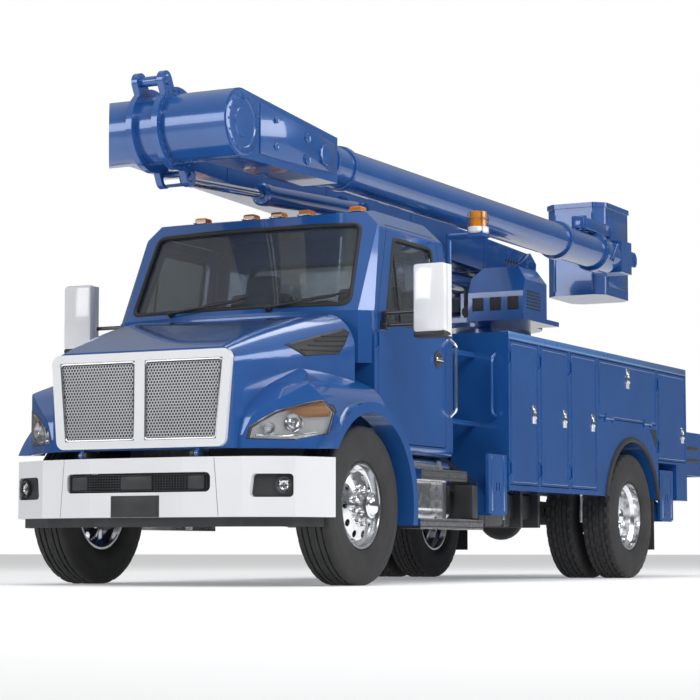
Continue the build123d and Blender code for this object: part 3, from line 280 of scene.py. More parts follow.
def piece(name, bm, mat, body, angle=35):
    """Turn a bmesh into a piece that rides on a body, smooth but for edges sharper than angle."""
    bmesh.ops.remove_doubles(bm, verts=bm.verts, dist=0.00002)
    bmesh.ops.recalc_face_normals(bm, faces=bm.faces)
    mesh = bpy.data.meshes.new(name)
    bm.to_mesh(mesh)
    bm.free()
    mesh.polygons.foreach_set("use_smooth", [True] * len(mesh.polygons))
    mesh.set_sharp_from_angle(angle=radians(angle))
    mesh.materials.append(mat)
    return riding(placed(name, mesh), body)


def soften(bm, verts, width, segments=2):
    """Round the edges between the given vertices."""
    chosen = set(verts)
    edges = [e for e in bm.edges if e.verts[0] in chosen and e.verts[1] in chosen]
    if width:
        bmesh.ops.bevel(bm, geom=edges, offset=width, segments=segments, affect="EDGES",
                        profile=0.5)


def brick(bm, low, high, width=0.004):
    """Box between two corners with rounded edges."""
    low, high = Vector(low), Vector(high)
    size = Vector(abs(a - b) for a, b in zip(high, low))
    place = Matrix.Translation((low + high) / 2) @ Matrix.Diagonal((*size, 1))
    made = bmesh.ops.create_cube(bm, size=1, matrix=place)
    soften(bm, made["verts"], width)


def plate(bm, points, out, width=0.002):
    """Flat plate with the given corners, thickened along out, its edges rounded."""
    base = [bm.verts.new(p) for p in points]
    top = [bm.verts.new(Vector(p) + Vector(out)) for p in points]
    bm.faces.new(base)
    bm.faces.new(list(reversed(top)))
    count = len(points)
    for i in range(count):
        j = (i + 1) % count
        bm.faces.new((base[j], base[i], top[i], top[j]))
    soften(bm, base + top, width)


def lathe(bm, profile, centre, axis, segments=32):
    """Turn pairs of radius and height round an axis through a centre."""
    turn = Vector(UP).rotation_difference(Vector(axis)).to_matrix()
    rings = []
    for i in range(segments):
        a = 2 * pi * i / segments
        spoke = [Vector((r * cos(a), r * sin(a), h)) for r, h in profile]
        rings.append([bm.verts.new(Vector(centre) + turn @ p) for p in spoke])
    for i in range(segments):
        here, there = rings[i], rings[(i + 1) % segments]
        for j in range(len(profile) - 1):
            bm.faces.new((here[j], there[j], there[j + 1], here[j + 1]))


def bolts(bm, centre, axis, start, radius, count, size, turn=0.0):
    """Ring of hexagon heads standing on a face, the first one towards start."""
    axis = Vector(axis).normalized()
    first = Vector(start).normalized()
    head = [(0.0, size * 0.75), (size * 0.8, size * 0.75), (size, size * 0.55), (size, 0.0)]
    for i in range(count):
        spin = Matrix.Rotation(2 * pi * i / count + turn, 3, axis)
        lathe(bm, head, Vector(centre) + spin @ first * radius, axis, 6)


def single(name, shape, sizes, mat, body):
    """Piece of one shape: a brick, a plate, a turned profile or a ring of bolts."""
    bm = bmesh.new()
    shape(bm, *sizes)
    piece(name, bm, mat, body)


def corner(p, q, r, bend):
    """Points round the corner q between p and r, from bend before it to bend after it."""
    before, after = (p - q).normalized(), (r - q).normalized()
    steps = [t / 4 for t in range(5)]
    return [q + bend * ((1 - u) ** 2 * before + u ** 2 * after) for u in steps]


def tube(name, points, radius, mat, body, closed=False, bend=0.0):
    """Round bar through points, its corners rounded by bend."""
    path = [Vector(p) for p in points]
    rounded = []
    for i, p in enumerate(path):
        if bend and (closed or 0 < i < len(path) - 1):
            rounded += corner(path[i - 1], p, path[(i + 1) % len(path)], bend)
        else:
            rounded.append(p)
    curve = bpy.data.curves.new(name, "CURVE")
    curve.dimensions = "3D"
    curve.bevel_depth = radius
    curve.bevel_resolution = 3
    curve.use_fill_caps = True
    spline = curve.splines.new("POLY")
    spline.points.add(len(rounded) - 1)
    for point, p in zip(spline.points, rounded):
        point.co = (*p, 1)
    spline.use_cyclic_u = closed
    spline.use_smooth = True
    curve.materials.append(mat)
    return riding(placed(name, curve), body)


def drape(name, points, target, ray, mat, body, lift, cuts):
    """Thin patch with the given outline, laid on a CAD node along a ray and lifted off it."""
    bm = bmesh.new()
    face = bm.faces.new([bm.verts.new(p) for p in points])
    bmesh.ops.triangulate(bm, faces=[face])
    for _ in range(cuts):
        bmesh.ops.subdivide_edges(bm, edges=bm.edges, cuts=1, use_grid_fill=True)
    ray = Vector(ray)
    for v in bm.verts:
        hit, where, normal, _ = nodes[target].ray_cast(v.co - ray * 3, ray, distance=6)
        if hit:
            v.co = where + normal * lift
    obj = piece(name, bm, mat, body, angle=60)
    shell = obj.modifiers.new("shell", "SOLIDIFY")
    shell.thickness = lift
    shell.offset = -1


# Tyres, wheel nuts and hubs

# Half of a tyre's outside, from bead to crown: distance from the middle plane, radius
TYRE_SIDE = (
    (0.070, 0.300), (0.095, 0.288), (0.112, 0.296), (0.124, 0.318), (0.128, 0.326), (0.131, 0.332),
    (0.1345, 0.372), (0.135, 0.415), (0.133, 0.448), (0.1335, 0.452), (0.1315, 0.456),
    (0.130, 0.480), (0.126, 0.498), (0.118, 0.516),
)
# Half of the tread from shoulder to middle: distance, radius, whether cross cuts reach it
TREAD = (
    (0.110, 0.5225, True), (0.104, 0.525, True), (0.078, 0.525, True), (0.076, 0.512, False),
    (0.066, 0.512, False), (0.064, 0.525, True), (0.036, 0.525, True), (0.034, 0.512, False),
    (0.026, 0.512, False), (0.024, 0.525, True), (0.002, 0.525, True),
)
# Turned profiles of the wheels: radius, height
NUT = ((0.0, 0.040), (0.010, 0.039), (0.0155, 0.031), (0.0165, 0.004), (0.021, 0.002),
       (0.021, -0.001))
HUB_CAP = ((0.0, 0.028), (0.030, 0.026), (0.054, 0.018), (0.062, 0.006), (0.070, 0.002),
           (0.070, -0.012))
REAR_HUB = ((0.0, 0.050), (0.040, 0.048), (0.062, 0.036), (0.070, 0.010), (0.090, 0.008),
            (0.092, -0.004))
NUTS = 10


def nuts(bm, x, y, s, radius):
    """Ring of wheel nuts on a disc."""
    for i in range(NUTS):
        a = radians(360 / NUTS * (i + 0.5))
        spot = at(x + radius * cos(a), s * y, TYRE_R + radius * sin(a))
        lathe(bm, NUT, spot, (0, s, 0), 12)


def tyre(bm, centre, every, depth, steps=144):
    """One tyre with ribs and cross cuts: every so many steps a cut of that depth."""
    side = [(y, r, 0) for y, r in TYRE_SIDE[:-2]] + [(y, r, 2) for y, r in TYRE_SIDE[-2:]]
    half = side + [(y, r, 1 if cut else 0) for y, r, cut in TREAD]
    profile = [(-y, r, cut) for y, r, cut in half] + [(y, r, cut) for y, r, cut in reversed(half)]
    rings = []
    for i in range(steps):
        ring = []
        for y, r, cut in profile:
            lag = int(abs(y) * 60) if y > 0 else int(abs(y) * 60) + every // 2
            if cut and (i + lag) % every < 1:
                r -= depth if cut == 1 else depth * 0.6
            a = 2 * pi * i / steps
            ring.append(bm.verts.new(centre + Vector((r * sin(a), y, -r * cos(a)))))
        rings.append(ring)
    for i in range(steps):
        here, there = rings[i], rings[(i + 1) % steps]
        for j in range(len(profile) - 1):
            bm.faces.new((here[j], here[j + 1], there[j + 1], there[j]))


for side, s in SIDES:
    out = Vector((0, s, 0))
    bm = bmesh.new()
    tyre(bm, at(0, s * FRONT_Y, TYRE_R), 6, 0.006)
    obj = piece("tread_front_" + side, bm, TYRE, "wheel_front_" + side)
    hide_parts("tyre_front_" + side)
    bm = bmesh.new()
    for y in (REAR_Y - TWIN, REAR_Y + TWIN):
        tyre(bm, at(REAR_AXLE_X, s * y, TYRE_R), 4, 0.013)
    obj = piece("tread_rear_" + side, bm, TYRE, "wheel_rear_" + side)
    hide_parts("tyres_rear_" + side)

    # Front: nuts round a polished cap that closes the hub
    bm = bmesh.new()
    nuts(bm, 0, FRONT_Y + 0.094, s, 0.118)
    lathe(bm, HUB_CAP, at(0, s * 1.206, TYRE_R), out, 36)
    bolts(bm, at(0, s * 1.207, TYRE_R), out, UP, 0.062, 8, 0.006)
    piece("front_nuts_" + side, bm, CHROME, "wheel_front_" + side)

    # Rear: nuts on the dished disc and a flanged cap on the hub
    bm = bmesh.new()
    nuts(bm, REAR_AXLE_X, 1.021, s, 0.152)
    lathe(bm, REAR_HUB, at(REAR_AXLE_X, s * 1.081, TYRE_R), out, 36)
    bolts(bm, at(REAR_AXLE_X, s * 1.089, TYRE_R), out, UP, 0.080, 8, 0.008)
    piece("rear_nuts_" + side, bm, CHROME, "wheel_rear_" + side)

    # Valve stem on the rim's edge
    front = ("wheel_front_", 0, FRONT_Y + 0.075)
    rear = ("wheel_rear_", REAR_AXLE_X, REAR_Y + TWIN - 0.045)
    for body, x, y in (front, rear):
        stem = [at(x, s * y, TYRE_R + 0.232), at(x, s * (y + 0.035), TYRE_R + 0.236)]
        tube("valve_" + body + side, stem, 0.005, CHROME, body + side)


# Grille: pressed hexagon mesh in each window, a dark plate behind it as painted shade, and a bright
# bead


def hex_mesh(bm, side, x, pitch=0.022, wire=0.0050, depth=0.006):
    """Honeycomb of hexagon rims clipped to one grille window."""
    # Radii to the corners, which lie 1.1547 times as far out as the sides
    inside, outside = (pitch / 2 - wire / 2) * 1.1547, pitch / sqrt(3)
    z_low, z_high = 0.942, 1.450
    row = 0
    z = z_low + 0.008
    while z < z_high - 0.006:
        y = 0.050 + (pitch / 2 if row % 2 else 0)
        reach = 0.572 + 0.046 * (z - z_low) / (z_high - z_low)
        while y < reach - 0.010:
            rings = []
            for r, back in ((outside, 0.0), (inside, 0.0), (inside, depth)):
                corners = []
                for k in range(6):
                    a = radians(60 * k + 30)
                    spot = at(x - back, side * (y + r * cos(a)), z + r * sin(a))
                    corners.append(bm.verts.new(spot))
                rings.append(corners)
            for a, b in ((0, 1), (1, 2)):
                for k in range(6):
                    n = (k + 1) % 6
                    bm.faces.new((rings[a][k], rings[a][n], rings[b][n], rings[b][k]))
            y += pitch
        z += pitch * sqrt(3) / 2
        row += 1


bm = bmesh.new()
for _, s in SIDES:
    hex_mesh(bm, s, HOOD_NOSE + 0.019)
piece("grille_mesh", bm, MESH, "hood")

# Dark plate just behind the mesh: painted shade inside the grille windows
bm = bmesh.new()
for _, s in SIDES:
    corners = [(0.039, 0.938), (0.574, 0.938), (0.620, 1.454), (0.039, 1.454)]
    plate(bm, [at(HOOD_NOSE + 0.0105, s * y, z) for y, z in corners], (0.001, 0, 0), 0)
piece("grille_shadow", bm, DARK, "hood")

for side, s in SIDES:
    rim = [(0.044, 0.944), (0.568, 0.944), (0.613, 1.448), (0.044, 1.448)]
    points = [at(HOOD_NOSE + 0.026, s * y, z) for y, z in rim]
    tube("grille_bead_" + side, points, 0.006, CHROME, "hood", True, 0.02)


# Headlamps: bright bowl, two reflectors with bulbs, amber corner and a bright lower blade

# Fender in plan: distance from the middle, place along the truck
LAMP_PLAN = ((0.700, 0.900), (0.830, 0.830), (1.090, 0.620), (1.190, 0.380))
# Outlines seen from the front: distance from the middle, height
LAMP_SHELL = (
    (0.762, 0.945), (0.83, 0.94), (0.92, 0.937), (1.0, 0.940), (1.09, 0.960), (1.13, 0.980),
    (1.148, 1.118), (1.118, 1.178), (1.09, 1.168), (0.98, 1.130), (0.905, 1.100), (0.83, 1.048),
    (0.775, 1.004),
)
LAMP_CORNER = ((1.045, 1.075), (1.138, 1.085), (1.146, 1.116), (1.118, 1.175), (1.04, 1.148),
               (0.955, 1.118))
LAMP_BLADE = ((0.80, 0.952), (0.96, 0.948), (1.10, 0.974), (1.10, 0.985), (0.96, 0.962),
              (0.80, 0.966))


def lamp_x(y):
    """Where the fender's front lies at a distance from the middle."""
    for (y0, x0), (y1, x1) in zip(LAMP_PLAN, LAMP_PLAN[1:]):
        if y <= y1:
            return x0 + (x1 - x0) * (y - y0) / (y1 - y0)
    return LAMP_PLAN[-1][1]


def lamp_patch(name, outline, s, back, mat):
    """Patch that follows the lamp's glass at a depth behind it."""
    bm = bmesh.new()
    points = [at(lamp_x(y) - back, s * (y - back * 0.4), z) for y, z in outline]
    bm.faces.new([bm.verts.new(p) for p in points])
    return piece(name, bm, mat, "hood", 60)


for side, s in SIDES:
    normal = Vector((0.78, 0.62 * s, 0.05)).normalized()
    lamp_patch("lamp_bowl_" + side, LAMP_SHELL, s, 0.062, LAMP_SILVER)
    bm = bmesh.new()
    for y, z, r in ((0.985, 1.035, 0.060), (0.860, 1.000, 0.046)):
        bowl = [(r, 0.030), (r * 0.98, 0.026), (r * 0.86, 0.010)]
        bowl += [(r * 0.6, -0.008), (r * 0.3, -0.016), (0.0, -0.018)]
        spot = at(lamp_x(y) - 0.052, s * (y - 0.02), z)
        lathe(bm, bowl, spot, normal, 32)
        bulb = [(0.0, 0.014), (r * 0.14, 0.012), (r * 0.2, 0.0), (r * 0.2, -0.014)]
        lathe(bm, bulb, spot, normal, 16)
    piece("lamp_reflectors_" + side, bm, CHROME, "hood")
    amber = lamp_patch("lamp_amber_" + side, LAMP_CORNER, s, 0.030, AMBER)
    amber.modifiers.new("thick", "SOLIDIFY").thickness = 0.012
    blade = lamp_patch("lamp_blade_" + side, LAMP_BLADE, s, 0.024, CHROME)
    blade.modifiers.new("thick", "SOLIDIFY").thickness = 0.006


# Bumper: fins in the slot, blank plate holder, panel seams, fog lamps in dark pockets

FOG_RING = ((0.056, -0.012), (0.056, 0.012), (0.052, 0.016), (0.046, 0.014), (0.043, 0.004),
            (0.043, -0.012))
FOG_LENS = ((0.0, 0.013), (0.018, 0.0115), (0.033, 0.008), (0.044, 0.001), (0.044, -0.004))
FOG_BOWL = ((0.043, -0.001), (0.032, -0.006), (0.016, -0.009), (0.0, -0.010))
BUMPER_FLAT = 0.35
BUMPER_BEND = 0.76


def bumper_x(y):
    """Where the bumper's front lies at a distance from the middle."""
    y = abs(y)
    if y <= BUMPER_FLAT:
        return 1.0
    if y <= BUMPER_BEND:
        return 1.0 - (y - BUMPER_FLAT) * 0.06 / 0.41
    return 0.94 - (y - BUMPER_BEND) * 0.15 / 0.30


bm = bmesh.new()
for i in range(52):
    y = -0.53 + 1.06 * i / 51
    x = bumper_x(y)
    brick(bm, at(x - 0.042, y - 0.0025, 0.604), at(x - 0.020, y + 0.0025, 0.721), 0.001)
for i in range(7):
    z = 0.612 + 0.0167 * i
    for y0, y1 in ((-0.535, -0.35), (-0.35, 0.35), (0.35, 0.535)):
        low, high = z - 0.003, z + 0.003
        bar = ((y0, low), (y1, low), (y1, high), (y0, high))
        corners = [at(bumper_x(y) - 0.022, y, h) for y, h in bar]
        plate(bm, corners, (-0.018, 0, 0), 0.001)
for y0, y1 in ((-0.12, 0.12), (-0.50, -0.38), (0.38, 0.50)):
    x = bumper_x((y0 + y1) / 2)
    brick(bm, at(x - 0.040, y0, 0.618), at(x - 0.012, y1, 0.706), 0.008)
piece("bumper_fins", bm, DARK, "chassis")

bm = bmesh.new()
brick(bm, at(0.9865, -0.1845, 0.4415), at(0.9965, 0.1845, 0.5795), 0.003)
brick(bm, at(0.9955, -0.165, 0.452), at(0.9985, 0.165, 0.565), 0.002)
bolts(bm, at(0.9982, 0, 0.548), FORE, LEFT, 0.120, 2, 0.002)
piece("plate_holder", bm, DARK, "chassis")

for side, s in SIDES:
    ends = ((0.60, 0.445), (0.57, 0.817))
    seam = [at(bumper_x(y) - 0.0004, s * y, z) for y, z in ends]
    tube("bumper_seam_" + side, seam, 0.0016, DARK, "chassis")
    aim = Vector((0.894, 0.447 * s, 0))
    pocket = ((0.799, 0.566), (1.049, 0.566), (1.049, 0.711), (0.814, 0.711))
    bm = bmesh.new()
    plate(bm, [at(bumper_x(y) - 0.034, s * y, z) for y, z in pocket], (-0.010, 0, 0), 0.001)
    centre = at(bumper_x(0.985) - 0.024, 0.985 * s, 0.640)
    lathe(bm, FOG_RING, centre, aim, 36)
    piece("fog_bezel_" + side, bm, DARK, "chassis")
    single("fog_lens_" + side, lathe, (FOG_LENS, centre, aim, 36), CLEAR, "chassis")
    bm = bmesh.new()
    lathe(bm, FOG_BOWL, centre, aim, 32)
    for turn in (0, 90):
        a = radians(turn + 45)
        spoke = Vector(UP) * sin(a) + aim.cross(Vector(UP)) * cos(a)
        flat = aim.cross(spoke) * 0.003
        ends = [centre + spoke * k for k in (-0.040, 0.040)]
        corners = [ends[0] - flat, ends[1] - flat, ends[1] + flat, ends[0] + flat]
        plate(bm, corners, aim * 0.003, 0)
    piece("fog_reflector_" + side, bm, CHROME, "chassis")


# Air vent let into each side of the hood, with slats
VENT_Y = 0.95
VENT = ((0.46, 1.565), (0.30, 1.500), (-0.02, 1.535), (-0.155, 1.690), (-0.12, 1.715))
for side, s in SIDES:
    points = [at(x, s * VENT_Y, z) for x, z in VENT]
    drape("hood_vent_" + side, points, "hood", (0, -s, 0), DARK, "hood", 0.004, 3)
    for i in range(4):
        z = 1.535 + 0.035 * i
        x0, x1 = 0.34 - 0.075 * i, -0.03 - 0.030 * i
        slat = ((x0, z), (x1, z + 0.016), (x1, z + 0.024), (x0, z + 0.006))
        points = [at(x, s * VENT_Y, h) for x, h in slat]
        name = "vent_slat_%s_%d" % (side, i)
        drape(name, points, "hood", (0, -s, 0), RUBBER, "hood", 0.010, 2)


# Cab: screen gaskets, wipers, door handles, mirrors, seats

# The windscreen bows by SCREEN_BOW over half its width
SCREEN_HALF = 0.94
SCREEN_BOW = 0.12
SCREEN_R = (SCREEN_HALF ** 2 + SCREEN_BOW ** 2) / (2 * SCREEN_BOW)
HANDLE_DISH = ((0.062, -0.004), (0.062, 0.006), (0.056, 0.009), (0.050, 0.006), (0.042, 0.0025),
               (0.020, 0.001), (0.0, 0.0008))


def screen_x(y, z):
    """Where the windscreen's outer face lies."""
    bow = -0.19 - (SCREEN_R - sqrt(SCREEN_R ** 2 - y * y))
    return bow - (z - BELT_Z) * 0.33 / 0.69


def side_y(z):
    """Half width of the cab at a height."""
    return CAB_HALF - max(0, z - 1.8) * 0.08 / 0.68


def along(corners, steps, bend):
    """Points along a closed outline with rounded corners, for a bead on a curved face."""
    path = []
    count = len(corners)
    for i in range(count):
        p, q, r = (Vector((*corners[(i + k) % count], 0)) for k in (-1, 0, 1))
        path += corner(p, q, r, bend)
        after = (r - q).normalized()
        start, stop = q + bend * after, r - bend * after
        path += [start.lerp(stop, t / steps) for t in range(1, steps)]
    return path


screen_edge = along([(-0.872, 1.903), (0.872, 1.903), (0.822, 2.492), (-0.822, 2.492)], 12, 0.06)
bead = [at(screen_x(p.x, p.y) - 0.006, p.x, p.y) for p in screen_edge]
tube("screen_gasket", bead, 0.016, RUBBER, "chassis", True)
rear_edge = along([(-0.69, 1.81), (0.69, 1.81), (0.64, 2.37), (-0.64, 2.37)], 4, 0.06)
bead = [at(-1.648, p.x, p.y) for p in rear_edge]
tube("rear_window_gasket", bead, 0.014, RUBBER, "chassis", True)

# Wipers: root and tip on the screen, across and up
WIPERS = (((0.30, 1.895), (0.78, 1.965)), ((-0.50, 1.895), (0.06, 1.955)))
for i, (root, tip) in enumerate(WIPERS):
    places = []
    for t in (0, 0.25, 0.5, 0.75, 1):
        y = root[0] + (tip[0] - root[0]) * t
        z = root[1] + (tip[1] - root[1]) * t
        places.append((y, z))
    arm = [at(screen_x(y, z) + 0.030, y, z) for y, z in places]
    tube("wiper_arm_%d" % i, arm, 0.008, DARK, "chassis")
    blade = [at(screen_x(y, z) + 0.012, y, z + 0.012) for y, z in places[2:]]
    y, z = tip
    blade.append(at(screen_x(y + 0.10, z) + 0.012, y + 0.06, z + 0.024))
    tube("wiper_blade_%d" % i, blade, 0.007, RUBBER, "chassis")
    knob = [(0.0, 0.045), (0.014, 0.043), (0.022, 0.030), (0.026, 0.0)]
    spot = at(screen_x(root[0], 1.885) - 0.004, root[0], 1.885)
    single("wiper_pivot_%d" % i, lathe, (knob, spot, (0.9, 0, 0.43), 20), DARK, "chassis")

WINDOW = ((-0.562, 1.80), (-0.818, 2.41), (-1.430, 2.41), (-1.430, 1.80))
for side, s in SIDES:
    body = "cab_door_" + side
    bead = [at(p.x, s * (side_y(p.y) - 0.002), p.y) for p in along(WINDOW, 5, 0.05)]
    tube("door_gasket_" + side, bead, 0.013, RUBBER, body, True)
    bar = [at(-0.80, s * (side_y(1.81) - 0.004), 1.81)]
    bar.append(at(-0.80, s * (side_y(2.36) - 0.004), 2.365))
    tube("quarter_bar_" + side, bar, 0.010, RUBBER, body)

    # Round handle cup with a chrome grip
    cup = at(-1.395, s * CAB_HALF, 1.60)
    single("handle_cup_" + side, lathe, (HANDLE_DISH, cup, (0, s, 0), 40), DARK, body)
    low, high = Vector((-0.070, s * 0.010, -0.014)), Vector((0.058, s * 0.024, 0.014))
    single("handle_grip_" + side, brick, (cup + low, cup + high, 0.006), CHROME, body)

    # Mirror glass, flat above and convex below, on the back of the case
    bm = bmesh.new()
    for low, high in ((1.845, 2.140), (1.695, 1.825)):
        corners = [(1.335, low), (1.518, low), (1.518, high), (1.335, high)]
        plate(bm, [at(-0.5405, s * y, z) for y, z in corners], (-0.004, 0, 0), 0.002)
    piece("mirror_glass_" + side, bm, MIRROR, body)
    bm = bmesh.new()
    brick(bm, at(-0.5395, s * 1.325, 1.826), at(-0.5455, s * 1.527, 1.844), 0.002)
    foot = [(0.024, 0.0), (0.024, 0.020), (0.016, 0.026)]
    for z in (1.765, 1.850):
        lathe(bm, foot, at(-0.505, s * (CAB_HALF + 0.016), z), (0, s, 0), 20)
    piece("mirror_frame_" + side, bm, DARK, body)

    # Bright rounded shell over the front of the mirror case, dark below
    box = at(-0.480, s * 1.304, 1.700), at(-0.408, s * 1.542, 2.167), 0.022
    single("mirror_shell_" + side, brick, box, WHITE, body)
    box = at(-0.546, s * 1.303, 1.662), at(-0.409, s * 1.5415, 1.708), 0.018
    single("mirror_base_" + side, brick, box, DARK, body)

    # Pull handle up the rear of the door opening
    grab = ((0.004, 1.20), (0.05, 1.24), (0.05, 1.72), (0.004, 1.76))
    points = [at(-1.60, s * (CAB_HALF + out), z) for out, z in grab]
    tube("grab_rail_" + side, points, 0.012, CHROME, "chassis", bend=0.02)

    # Seat cushions: crowned pads with a waist, over the frames of the seats
    middle = 0.455 * s
    for name, centre, size, tilt in (
        ("seat_pad_", at(-1.18, middle, 1.600), (0.46, 0.50, 0.13), -4),
        ("seat_back_", at(-1.405, middle, 1.860), (0.12, 0.48, 0.58), -11),
        ("head_rest_", at(-1.470, middle, 2.205), (0.09, 0.26, 0.16), -11),
    ):
        bm = bmesh.new()
        lean = Matrix.Rotation(radians(tilt), 4, "Y")
        place = Matrix.Translation(centre) @ lean @ Matrix.Diagonal((*size, 1))
        made = bmesh.ops.create_cube(bm, size=1, matrix=place)
        soften(bm, made["verts"], 0.03, 3)
        bmesh.ops.subdivide_edges(bm, edges=bm.edges, cuts=2, use_grid_fill=True)
        for v in bm.verts:
            rel = v.co - centre
            swell = 1 - (rel.y / (size[1] * 0.62)) ** 2
            v.co += rel.normalized() * 0.012 * max(0, swell)
        pad = piece(name + side, bm, CLOTH, "chassis", angle=60)
        pad.modifiers.new("round", "SUBSURF").levels = 1


# Chrome bases under the roof lamps

bm = bmesh.new()
for y in (-0.64, -0.23, 0, 0.23, 0.64):
    brick(bm, at(-0.955, y - 0.055, 2.629), at(-0.835, y + 0.055, 2.636), 0.003)
piece("roof_lamp_bases", bm, CHROME, "chassis")


# Tank straps and fillers, studs and dark edges on the steps

# A strap round a tank: distance from the middle, height
STRAP = ((0.600, 0.893), (0.93, 0.893), (1.0, 0.870), (1.023, 0.80), (1.023, 0.53), (1.0, 0.46),
         (0.93, 0.437), (0.60, 0.437))
STUD_PITCH = 0.045

for side, s in SIDES:
    bm = bmesh.new()
    for x in (-0.98, -1.46):
        for (y0, z0), (y1, z1) in zip(STRAP, STRAP[1:]):
            band = ((-0.03, y0, z0), (0.03, y0, z0), (0.03, y1, z1), (-0.03, y1, z1))
            corners = [at(x + dx, s * y, z) for dx, y, z in band]
            outward = Vector((0, s * (z1 - z0), -(y1 - y0)))
            plate(bm, corners, outward.normalized() * -0.004, 0)
    filler = [(0.0, 0.05), (0.045, 0.048), (0.055, 0.040), (0.055, 0.0)]
    lathe(bm, filler, at(-0.87, s * 0.93, 0.885), (0, s * 0.5, 0.87), 28)
    piece("tank_straps_" + side, bm, CHROME, "chassis")
    bm = bmesh.new()
    stud = [(0.007, 0.004), (0.010, 0.003), (0.013, -0.001)]
    for x0, x1, z in ((-1.515, -0.765, 0.795), (-1.775, -0.725, 0.450)):
        for i in range(int((x1 - x0) / STUD_PITCH)):
            for j in range(3):
                x = x0 + 0.03 + i * STUD_PITCH
                y = 1.075 + j * 0.042
                lathe(bm, stud, at(x, s * y, z), UP, 10)
    piece("step_treads_" + side, bm, TREAD_PLATE, "chassis")
    bm = bmesh.new()
    for z0, z1, x0, x1 in ((0.722, 0.793, -1.5195, -0.7605), (0.382, 0.448, -1.7795, -0.7205)):
        y0 = 1.2005 if z0 > 0.5 else 1.2105
        for z in (z0 + 0.014, z1 - 0.014):
            low, high = at(x0, s * (y0 - 0.003), z - 0.005), at(x1, s * (y0 + 0.003), z + 0.005)
            brick(bm, low, high, 0.002)
    brick(bm, at(-1.76, s * 1.030, 0.46), at(-1.66, s * 1.18, 0.70), 0.01)
    piece("step_edges_" + side, bm, DARK, "chassis")


# Service body: latches, top rails, arch trim, mudflaps, underbody boxes and handles

# Doors of one side: name, front end, rear end, sill
DOORS = (
    ("first", -2.276, -2.809, 0.726),
    ("second", -2.871, -3.439, 0.726),
    ("third", -3.501, -4.054, 0.726),
    ("over_wheel", -4.116, -5.504, 1.326),
    ("rear", -5.566, -6.294, 1.026),
)
DOOR_HEAD = 1.804
BEAD_INSET = 0.020
ARCH_R = 0.648


def latch(bm, centre, s, tall):
    """Folding T latch in a bright dished plate."""
    h, w = (0.085, 0.042) if tall else (0.070, 0.036)
    grip = h * 0.5
    # Half width, back, front, bottom, top, rounding
    layers = (
        (w, 0, 0.005, -h, h, 0.003),
        (w * 0.62, 0.004, 0.009, -h * 0.72, h * 0.72, 0.004),
        (w * 0.35, 0.009, 0.020, -grip, grip * 0.55, 0.004),
    )
    for half, back, front, low, high, width in layers:
        foot = centre + Vector((-half, s * back, low))
        brick(bm, foot, centre + Vector((half, s * front, high)), width)
    lock = [(0.0, 0.006), (0.009, 0.005), (0.011, 0.0)]
    lathe(bm, lock, centre + Vector((0, s * 0.009, grip * 0.85)), (0, s, 0), 16)


